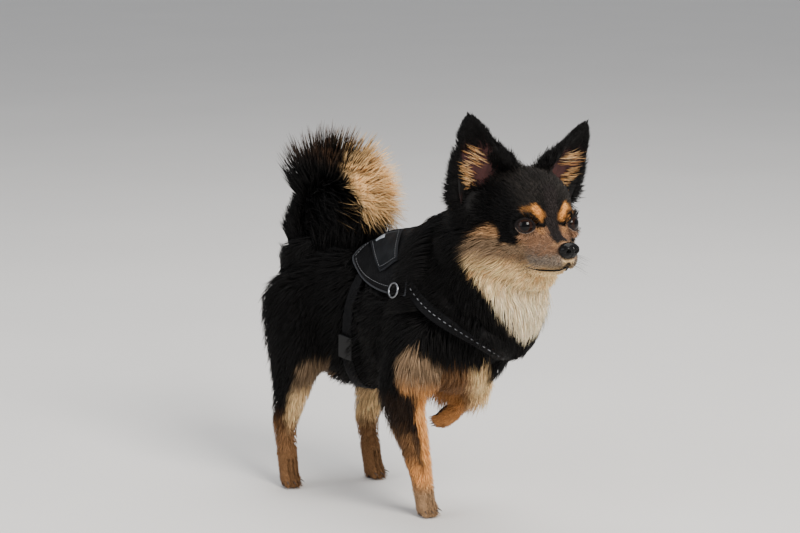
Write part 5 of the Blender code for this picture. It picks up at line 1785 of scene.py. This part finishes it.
EAR_OPENS = np.array([0.82, 0.56, 0.05])
EAR_BASE = np.array([-0.009, 0.0270, 0.0160])
EAR_HALF = 0.0265  # half an ear's width
EAR_TIPS = {-1: np.array([-0.016, -0.0455, 0.0775]), 1: np.array([-0.006, 0.0595, 0.0685])}


def ear_axes(side):
    """Base, tip, the ways up, across to the outer edge, and out of the cup, in the frame."""
    base = EAR_BASE * [1, side, 1]
    tip = EAR_TIPS[side]
    up = unit(tip - base)
    opens = EAR_OPENS * [1, side, 1]
    opens = unit(opens - (opens @ up) * up)
    across = np.cross(up, opens) * side
    return from_head(base), from_head(tip), HEAD_TURN @ up, HEAD_TURN @ across, HEAD_TURN @ opens


def build_ears():
    """The thin cupped ears: dark outside, pink-brown skin inside. Returns what their hair needs."""
    ears = {}
    for side, name in SIDE_NAMES.items():
        mesh = refined(f"ear_{name}", 2, 60)
        places, tris = arrays(mesh)
        base, tip, up, across, opens = ear_axes(side)
        height = np.linalg.norm(tip - base)
        t = ((places - base) @ up) / height
        s = ((places - base) @ across) / EAR_HALF
        if side < 0:
            wider = 0.24 * EAR_HALF * np.maximum(-s, 0) * ramp(t, -0.05, 0.25)
            places += across * wider[:, None]
            set_places(mesh, places)
        normals = vertex_normals(mesh)
        inside = ramp(normals @ opens, 0.05, 0.35)
        rim = ramp(s, 0.62, 0.46) * ramp(s, -0.55, -0.30) * ramp(t, 0.80, 0.60) * ramp(t, 0.06, 0.18)
        tone = mix(BLACK, EAR_SKIN, inside * rim)
        # Painted shade: the inside of the ear darker towards its base.
        tone = mix(tone, EAR_SKIN * 0.3, inside * ramp(t, 0.20, 0.0))
        paint(mesh, tone)
        new_piece(f"ear_{name}_skin", mesh, EAR, "ear", f"ear_{name}")
        axes = (base, up, across, opens, height)
        ears[side] = dict(places=places, tris=tris, normals=normals, t=t, s=s, inside=inside, axes=axes)
    return ears


def ear_sets(t, s, inside):
    """Each kind of ear hair: where it grows, how many tufts, half their width and their length."""
    low = ramp(t, -0.05, 0.02)
    edges = np.maximum(ramp(np.abs(s), 0.62, 0.85) * low * ramp(t, 1.0, 0.9), ramp(t, 0.7, 0.9))
    margins = np.maximum(ramp(s, 0.56, 0.70), ramp(s, -0.06, -0.26) * ramp(t, 0.52, 0.42))
    outer = ramp(t, -0.02, 0.05) * ramp(s, 0.30, 0.40) * ramp(s, 0.68, 0.56) * ramp(t, 0.50, 0.38)
    streak = ramp(s, -0.34, -0.16) * ramp(s, 0.28, 0.12) * ramp(t, 0.34, 0.42) * ramp(t, 0.58, 0.50)
    return [
        ("back", (1 - inside) * ramp(t, -0.12, -0.02), 2000, 0.00034, 0.0080),
        ("fringe", edges, 2400, 0.00032, 0.0105),
        ("top", inside * ramp(t, 0.50, 0.66), 700, 0.00028, 0.0085),
        ("margin", inside * low * margins, 1500, 0.00028, 0.0115),
        ("outer", inside * outer, 130, 0.00016, 0.0092),
        ("streak", inside * streak, 42, 0.00017, 0.0160),
        ("fluff", ramp(s, -0.30, -0.55) * ramp(t, 0.36, 0.22) * ramp(t, -0.15, -0.05), 520, 0.00030, 0.0145),
    ]


def ear_lie(kind, rt, rs, axes):
    """The way a kind of ear hair lies, how its length changes, and how far it stands off."""
    _, up, across, opens, _ = axes
    edgeward = across * np.sign(rs)[:, None]
    shorter = np.maximum(1.3 - 1.0 * rt, 0.25)
    if kind == "back":
        return up + 0.25 * across * rs[:, None] - 0.1 * opens, 1 - 0.35 * rt, 0.25
    if kind in ("fringe", "margin"):
        low = ramp(rt, 0.45, 0.0)[:, None]
        lie = 0.9 * up + 0.65 * edgeward - 0.2 * opens - up * 0.7 * low + edgeward * 0.35 * low
        return lie, shorter * np.where(rs > 0, 1.0, 0.85), 0.25
    if kind == "top":
        return up + 0.2 * opens, shorter, 0.25
    if kind == "outer":
        return 0.60 * up + 0.75 * across + 0.35 * opens, 1.15 - 0.5 * rt, 0.35
    if kind == "fluff":
        return from_head_way([0.15, 0.0, 1.0]) - 0.25 * across + 0.25 * opens, 1.0, 0.3
    return 0.75 * up + 0.75 * across + 0.35 * opens, 1.0, 0.4


def ear_hair(skin, ear):
    """Short dark hair outside, a fringe along the edges, and long pale hair in the opening."""
    base, up_way, across, _, height = ear["axes"]
    places, tris, normals = ear["places"], ear["tris"], ear["normals"]
    out = []
    for kind, weight, count, width, length in ear_sets(*(ear[k][tris].mean(1) for k in ("t", "s", "inside"))):
        face, shares = sampled(places, tris, weight + 1e-9, count)
        root = (places[tris[face]] * shares[..., None]).sum(1)
        up = unit((normals[tris[face]] * shares[..., None]).sum(1))
        rt = ((root - base) @ up_way) / height
        rs = ((root - base) @ across) / EAR_HALF
        lie, change, lift = ear_lie(kind, rt, rs, ear["axes"])
        long = length * rng.uniform(0.7, 1.2, count) * change
        lie = unit(lie - up * (lie * up).sum(1, keepdims=True) * 0.6)
        lie = unit(lie + rng.normal(0, 0.14, (count, 3)))
        middle = root + lie * (long * 0.5)[:, None] + up * (long * lift * 0.7)[:, None]
        end = root + lie * long[:, None] + up * (long * lift * 0.5)[:, None]
        end = gather(end, root, 0.0045, 0.4 * rng.uniform(0.5, 1.0, count))
        colour = BLACK * np.exp(rng.normal(0, 0.2, count))[:, None]
        if kind in ("outer", "streak"):
            colour = mix(ORANGE * 0.6, CREAM * 0.85, rng.random(count))
            colour = np.where((rng.random(count) < 0.30)[:, None], WARM_BLACK, colour)
        out.append(tuft_mesh(
            root - up * 0.0003, middle, end, up, width * rng.uniform(0.7, 1.2, count), 3,
            colour, np.minimum(colour * 1.3, 0.95), skin.uv_at(root),
        ))
    return out


def join_tufts(name, meshes):
    """One coat piece from several meshes with the same layers."""
    objects = []
    for mesh in meshes:
        obj = bpy.data.objects.new(name, mesh)
        bpy.context.scene.collection.objects.link(obj)
        objects.append(obj)
    chosen = dict(selected_objects=objects, selected_editable_objects=objects)
    with bpy.context.temp_override(active_object=objects[0], object=objects[0], **chosen):
        bpy.ops.object.join()
    mesh = objects[0].data
    bpy.data.objects.remove(objects[0])
    return new_piece(name, mesh, COAT, "coat")


def whisker_roots(side):
    """Where the whiskers of one side grow, how long each is and how much it hangs."""
    roots = []
    for row in range(4):
        for column in range(4):
            x = 0.052 - 0.005 * column - 0.001 * row
            roots.append(((x, 0.0105 * side, -0.0245 - 0.0028 * row), 0.020 + 0.0035 * column, 0.9))
    roots += [((0.031, 0.019 * side, 0.0070), 0.016, 0.2), ((0.033, 0.014 * side, 0.0090), 0.015, 0.2)]
    return roots + [((0.010, 0.033 * side, -0.0230), 0.018, 0.6)]


def build_whiskers():
    """Fine dark whiskers on the muzzle, over the eyes and on the cheeks."""
    meshes = []
    t = np.linspace(0, 1, 7)[:, None]
    for side in EYES:
        for spot, length, low in whisker_roots(side):
            start = np.array(spot) * [1, 0.75, 1]
            way = unit(np.array([-0.25 + 0.45 * rng.random(), side * 1.0, -0.35 * low + 0.25 * rng.random()]))
            droop = np.array([-0.35, 0, -0.28 * low])
            path = start + way * length * t + droop * length * t * t * 0.6
            meshes.append(tube(from_head(path), np.linspace(0.00013, 0.00003, 7), 4))
    new_piece("whiskers", smooth(joined(meshes)), WHISKER, "coat")


def harness_guard(pieces):
    """Keeps the coat out of the harness: short and flat under it, over it where it sweeps across."""
    v, t, _ = stacked([piece.data for piece in pieces])
    tree = tree_of(v, t)

    def guard(root, middle, tip, up, *others):
        over = cast(tree, root + up * 1e-4, up, 0.030)
        under = over < 0.030
        room = np.maximum(over - 0.0012, 0.0004)
        clear = np.linalg.norm(root - nearest(tree, root)[0], axis=1) > 0.0009
        keep = ~(under & (rng.random(len(root)) < 0.4)) & clear
        lifted = np.where(rng.random(len(root)) < 0.25, 0.0022, 0.0009)
        for spot, share in ((middle, 0.7), (tip, 1.0)):
            deep = cast(tree, spot + up * 0.022, -up, 0.0235)
            push = (deep < 0.0235) & ~under
            spot[push] += up[push] * (0.022 - deep[push] + lifted[push])[:, None]
            high = ((spot - root) * up).sum(1)
            down = under & (high > room * share)
            spot[down] -= up[down] * (high[down] - room[down] * share)[:, None]
        return [a[keep] for a in (root, middle, tip, up, *others)]

    return guard


def body_guard(root, up):
    """No hair in the eyes' openings, on the nose, in the mouth's line or on the pads."""
    q = to_head(root)
    keep = np.linalg.norm(q - [0.0640, 0, -0.0205], axis=1) > 0.0088
    for side, centre in EYE_CENTRES.items():
        near = np.linalg.norm(root - centre, axis=1) < 0.016
        keep &= ~((eye_gap(root, side) < 0.0011) & near)
    over, there = mouth_line(q)
    keep &= ~((np.abs(over - 0.0003) < 0.0013) & (there > 0.5) & (q[:, 0] > 0.016))
    for name in PAW_AT:
        keep &= ~on_pads(root, up, name, -0.45)
    return keep


def on_pads(points, normals, name, facing):
    """Which places lie on the underside of a paw."""
    back = paw_axes(name)[2]
    rel = points - PAW_AT[name]
    return (np.linalg.norm(rel, axis=1) < PAW_REACH) & (rel @ back < -0.0035) & (normals @ back < facing)


def build_coat(skin, guard):
    """Every piece of coat but the mane and the ears' hair."""

    def on(*names):
        return np.isin(skin.regions, names).astype(float)

    y = skin.places[:, 1] - SHIFT[1]
    halves = (("right", y < 0), ("left", y >= 0))
    fine = 1 + 1.6 * ramp(to_head(skin.places)[:, 0], 0.005, 0.035)
    bare = dict(guard=body_guard)
    grow(skin, "coat_face", on("head"), 17000, 0.00026, 2, dense=fine, cell=0.0028, clump=0.35,
         frizz=0.08, **bare)
    for region, node, count, cell in (("neck", "neck", 6200, 0.006), ("body", "trunk", 11000, 0.007)):
        for name, half in halves:
            where = on(node) * half
            grow(skin, f"coat_{region}_{name}", where, count, 0.00042, 3, cell=cell, clump=0.5, harness=guard)
    grow(skin, "coat_forelegs", on(*LEG_NODES[:2]), 8800, 0.00032, 3, cell=0.0045, clump=0.4, **bare)
    grow(skin, "coat_hindlegs", on(*LEG_NODES[2:]), 10500, 0.00034, 3, cell=0.005, clump=0.4, **bare)
    grow(skin, "coat_paws", on(*PAW_NODES), 5000, 0.00020, 2, cell=0.002, clump=0.25, lift=0.8, **bare)
    tail_coat(skin, on("tail"))


def filler(skin, weight, count, way, long, rise):
    """Black tufts from the skin that weight picks, along way and away from the skin by rise."""
    face, shares = sampled(skin.places, skin.tris, weight[skin.tris].mean(1), count)
    root, up = skin.at(face, shares, skin.places, skin.normals)
    up = unit(up)
    way = unit(np.asarray(way) + up * rise + rng.normal(0, 0.16, (count, 3)))
    long = long * rng.uniform(0.7, 1.15, count)[:, None]
    return root - up * 0.0005, root + (way * 0.5 + up * 0.12) * long, root + way * long, up


def mane_tufts(pieces):
    """Neck hair that lies back over the saddle's front edge."""
    under = [from_bmesh(welded(name)) for name in ("neck", "trunk")] + [pieces[0].data.copy()]
    tree = tree_of(*arrays(joined(under)))
    count = 2600
    start_angle = rng.uniform(-66, 66, count)
    start_x = 0.0225 + 0.017 * rng.random(count) ** 1.2
    long = rng.uniform(0.020, 0.034, count) * (1 - 0.25 * np.abs(start_angle) / 66)
    spread = np.sign(start_angle) * (6 + 0.16 * np.abs(start_angle))
    spots = []
    for share, lift in ((0.0, -0.0045), (0.5, 0.0042), (1.0, 0.0022)):
        angle = np.radians(start_angle + spread * share * long / 0.03)
        way = np.stack([0 * angle, np.sin(angle), np.cos(angle)], 1)
        x = start_x - 0.92 * long * share
        middle = np.stack([x, np.full(count, AXIS_Y), np.full(count, CHEST_AXIS)], 1)
        deep = cast(tree, middle + way * 0.13, -way, 0.13)
        spots.append(middle + way * (0.13 - deep + lift * rng.uniform(0.6, 1.2, count))[:, None])
        if share == 0.0:
            up, rooted = way, deep < 0.125
    return [field[rooted] for field in (*spots, up)]


def mane_coat(skin, pieces):
    """The mane, and hair that fills in under the tail and behind the ears."""
    sets = [mane_tufts(pieces)]
    x, y, _ = skin.places.T
    back = (skin.regions == "trunk") & (x > -0.122) & (x < -0.070) & (np.abs(y - AXIS_Y) < 0.017)
    back = back & (skin.normals[:, 2] > 0.6)
    sets.append(filler(skin, back.astype(float), 620, (0.35, 0.0, 1.0), 0.031, 0.2))
    q = to_head(skin.places)
    spot = to_head(np.array([[0.0785, -0.0365, 0.2770]]))[0]  # behind the right ear's base
    for side in EYES:
        near = np.linalg.norm(q - spot * [1.0, -side, 1.0], axis=1)
        way = from_head_way([-0.75, 0.25 * side, -0.55])
        sets.append(filler(skin, ramp(near, 0.013, 0.009), 420, way, 0.0115, 0.40))
    root, middle, tip, up = (np.concatenate(parts) for parts in zip(*sets))
    n = len(root)
    tip = gather(tip, tip, 0.007, 0.5 * rng.uniform(0.3, 1.0, n))
    colour = BLACK * np.exp(rng.normal(0, 0.2, n))[:, None]
    width = 0.00042 * rng.uniform(0.7, 1.25, n)
    mesh = tuft_mesh(root, middle, tip, up, width, 3, colour, colour * 1.3, skin.uv_at(root))
    new_piece("coat_mane", mesh, COAT, "coat")


PLUME = np.array(  # angle about the curl in degrees, the plume's reach there in millimetres
    [[-180, 43], [-173, 45], [-157, 55], [-145, 64], [-120, 60], [-90, 52], [-45, 62], [-25, 72],
     [-15, 86], [-5, 102], [5, 111], [20, 116], [38, 112], [53, 100], [71, 90], [85, 83], [110, 75],
     [126, 82], [133, 80], [137, 56], [144, 36], [164, 36], [180, 43]]
)
PLUME_WAY = np.array(  # the same angle at a root, and the way the hair leaves it
    [[-180, 200], [-120, 190], [-60, -34], [-20, -24], [0, -12], [15, 5], [34, 34], [60, 66],
     [95, 97], [115, 118], [135, 128], [152, 138], [172, 165], [180, 200]]
)
PALE_FROM = np.array(  # angle, and how far out in millimetres the hair turns cream
    [[-40, 62], [-1, 66], [22, 58], [45, 64], [75, 78]]
)


def about_curl(rel):
    """Angle in degrees up from straight ahead, and distance, in the plane of the tail."""
    return np.degrees(np.arctan2(rel[..., 2], rel[..., 0])), np.hypot(rel[..., 0], rel[..., 2])


def heading(degrees):
    """Ways in the plane of the tail at these angles."""
    turn = np.radians(degrees)
    return np.stack([np.cos(turn), 0 * turn, np.sin(turn)], 1)


def plume_ways(angle, along, up, tangent, inner):
    """The way each lock leaves the tail: up the stem, in a fan round the curl, and down inside it."""
    count = len(angle)
    lateral = 0.45 * np.stack([0 * angle, up[:, 1], 0 * angle], 1)
    fan = heading(along_table(PLUME_WAY, angle) + rng.normal(0, 7, count)) + lateral
    stem = unit(tangent * 0.80 + up * 0.55)
    way = mix(stem, fan, ramp(along, 0.36, 0.52))
    fill = heading(rng.uniform(-38, 8, count)) + lateral
    drop = heading(rng.uniform(-75, -8, count)) + lateral
    way = mix(way, mix(fill, drop, ramp(along, 0.55, 0.75)), inner)
    return unit(way + rng.normal(0, 0.07, (count, 3)))


def plume_lengths(rel, way, along, inner):
    """How long each lock is: out to the plume's surface, and less along the stem and inside the curl."""
    grid = np.linspace(0.006, 0.095, 46)
    spots = rel[:, None] + way[:, None] * grid[None, :, None]
    turn, far = about_curl(spots)
    half_width = np.interp(far, [0.02, 0.05, 0.10], [0.020, 0.027, 0.020])
    wide = np.abs(spots[..., 1] - (AXIS_Y - TAIL_CURL[1])) / half_width
    beyond = (far / (along_table(PLUME, turn) / 1000)) ** 2 + wide**2 > 1.0
    long = grid[np.where(beyond.any(1), beyond.argmax(1), 20)]
    long = np.minimum(long, np.interp(along, [0.0, 0.2, 0.40, 0.50], [0.024, 0.038, 0.046, 0.075]))
    filled = np.interp(along, [0.0, 0.12, 0.4, 1.0], [0.036, 0.072, 0.076, 0.070])
    long = np.where(inner > 0.5, np.minimum(long, filled), long)
    return np.maximum(long * rng.uniform(0.74, 1.04, len(long)), 0.008)


def plume_colours(root, tip):
    """Each lock's dark root, its tip, and how far out it turns from one to the other."""
    count = len(root)
    tone = np.exp(rng.normal(0, 0.16, count))[:, None]
    dark = tail_colours(wobble(root, 0.01)) * tone
    turn, far = about_curl(tip - TAIL_CURL)
    near = about_curl(root - TAIL_CURL)[1]
    edge = along_table(PALE_FROM, turn) / 1000 + rng.normal(0, 0.004, count)
    streak = wobble(tip, 0.012, 9) * 22 + rng.normal(0, 5, count)
    pale = ramp(turn + streak, 64, 38) * ramp(far, edge, edge + 0.010) * ramp(turn, -42, -24)
    pale *= ramp(tip[:, 2], 0.224, 0.236)
    greyed = ramp(turn, 40, 60) * ramp(turn, 150, 120) * ramp(far, 0.046, 0.070)
    end = mix(dark * 1.3, mix(WARM_BLACK, BROWN, 0.8 * rng.random(count)), greyed)
    end = mix(end, mix(TAIL_CREAM, CREAM, rng.random(count)) * tone, pale)
    return dark, end, np.clip((edge - near) / np.maximum(far - near, 0.004), 0.10, 0.72)


def tail_coat(skin, where):
    """The plume: long locks that fan out of the curl to the coat's outer surface."""
    count = 8800
    end_near = ramp(np.linalg.norm(skin.places - TAIL_PATH[-1], axis=1), 0.032, 0.014)
    where = where * (1 + 3.0 * end_near)
    face, shares = sampled(skin.places, skin.tris, where[skin.tris].mean(1), count)
    root, up = skin.at(face, shares, skin.places, skin.normals)
    up = unit(up)
    core = curve_through(TAIL_PATH, 60)
    step = np.linalg.norm(root[:, None] - core[None], axis=2).argmin(1)
    tangent = unit(np.gradient(core, axis=0))[step]
    along = step / 60.0
    rel = root - TAIL_CURL
    inner = ramp((up * unit(np.array([0.85, 0.0, -0.45]))).sum(1), 0.0, 0.55)
    way = plume_ways(about_curl(rel)[0], along, up, tangent, inner)
    long = plume_lengths(rel, way, along, inner)
    middle = root + way * (long * 0.5)[:, None] + up * (long * 0.10)[:, None]
    tip = root + way * long[:, None] - np.array([0, 0, 1.0]) * (long * 0.03)[:, None]
    tip = gather(tip, tip, 0.009, 0.60 * rng.uniform(0.3, 1.0, count))
    dark, end, colour_from = plume_colours(root, tip)
    mesh = tuft_mesh(
        root - up * ROOT_DEPTH, middle, tip, up, 0.00050 * rng.uniform(0.7, 1.25, count), 4,
        dark, end, skin.uv_at(root), tip_from=colour_from, span=0.55,
    )
    new_piece("coat_tail", mesh, COAT, "coat", "tail")


def build_animal():
    """The painted skin, in place of the nodes of flesh. Returns it with the coat's fields."""
    mesh = make_skin(Flesh(FLESH))
    skin = Skin(mesh, Flesh([*FLESH, "tail"]))
    over = skin.places + skin.normals * skin.cover[:, None]
    throat = (skin.regions == "neck") & (skin.places[:, 2] < 0.185)
    over[:, 2] = np.where(throat, np.minimum(over[:, 2], skin.places[:, 2] - 0.006), over[:, 2])
    colours = marking(over, skin.regions) * 0.9
    for name in PAW_AT:
        colours[on_pads(skin.places, skin.normals, name, -0.35)] = PAD
    paint(mesh, colours)
    new_piece("skin", mesh, SKIN, "coat", *FLESH)
    return skin


# ---- Floor, lights and camera -----------------------------------------------------------------------
FLOOR_RADIUS = 14.0
LAMPS_AIM = Vector((-0.01, -0.01, 0.17))
LAMPS = (  # name, place, size, power in watts, colour
    ("key", (2.1, -0.45, 1.65), 1.1, 104.0, (1.0, 0.955, 0.90)),
    ("fill", (-0.7, -2.1, 1.1), 1.6, 22.0, (0.95, 0.97, 1.0)),
    ("top", (-0.3, 0.5, 2.3), 1.6, 34.0, (1.0, 0.98, 0.95)),
)
CAMERA_AZIMUTH, CAMERA_ELEVATION = 47.0, 10.0  # degrees from the dog's right side to its front, and up
CAMERA_AIM = Vector((-0.025, -0.0113, 0.2072))
CAMERA_DISTANCE, CAMERA_LENS = 2.0, 108.0  # metres and millimetres


def linked(obj):
    bpy.context.scene.collection.objects.link(obj)
    return obj


def build_floor():
    """A plain pale floor."""
    bm = bmesh.new()
    bmesh.ops.create_circle(bm, cap_ends=True, segments=96, radius=FLOOR_RADIUS)
    floor = linked(bpy.data.objects.new("floor", from_bmesh(bm)))
    look = Look("floor", Specular_IOR_Level=0.2)
    cloud = look.noise(look.places(), 3.0, 3.0)
    look.colour(look.blend(cloud, srgb(222, 220, 217), srgb(229, 227, 224)))
    look.rough(look.spread(cloud, 0.3, 0.7, 0.75, 0.9))
    floor.data.materials.append(look.material)


def build_lights():
    """A soft key light, a fill, a light from above, and the pale world round them."""
    world = bpy.data.worlds.new("studio")
    world.use_nodes = True
    background = world.node_tree.nodes["Background"].inputs
    background["Color"].default_value = (0.86, 0.88, 0.92, 1.0)
    background["Strength"].default_value = 0.58
    bpy.context.scene.world = world
    for name, place, size, power, colour in LAMPS:
        light = bpy.data.lights.new(name, "AREA")
        light.size, light.energy, light.color = size, power, colour
        lamp = linked(bpy.data.objects.new(name, light))
        lamp.location = place
        lamp.rotation_euler = (Vector(place) - LAMPS_AIM).to_track_quat("Z", "Y").to_euler()


def build_camera():
    """The camera, at the angle of view that the object is shown from."""
    azimuth, elevation = math.radians(CAMERA_AZIMUTH), math.radians(CAMERA_ELEVATION)
    flat = math.cos(elevation)
    back = Vector((math.sin(azimuth) * flat, -math.cos(azimuth) * flat, math.sin(elevation)))
    data = bpy.data.cameras.new("camera")
    data.lens, data.sensor_width = CAMERA_LENS, 36.0
    camera = linked(bpy.data.objects.new("camera", data))
    camera.location = CAMERA_AIM + back * CAMERA_DISTANCE
    camera.rotation_euler = back.to_track_quat("Z", "Y").to_euler()
    bpy.context.scene.camera = camera


build_camera()
build_floor()
build_lights()
harness_pieces = build_harness()
build_eyes()
build_nose()
build_claws()
ears = build_ears()
skin = build_animal()
build_whiskers()
build_lips(skin)
guard = harness_guard(harness_pieces)
build_coat(skin, guard)
mane_coat(skin, harness_pieces)
for side, name in SIDE_NAMES.items():
    join_tufts(f"coat_ear_{name}", ear_hair(skin, ears[side]))
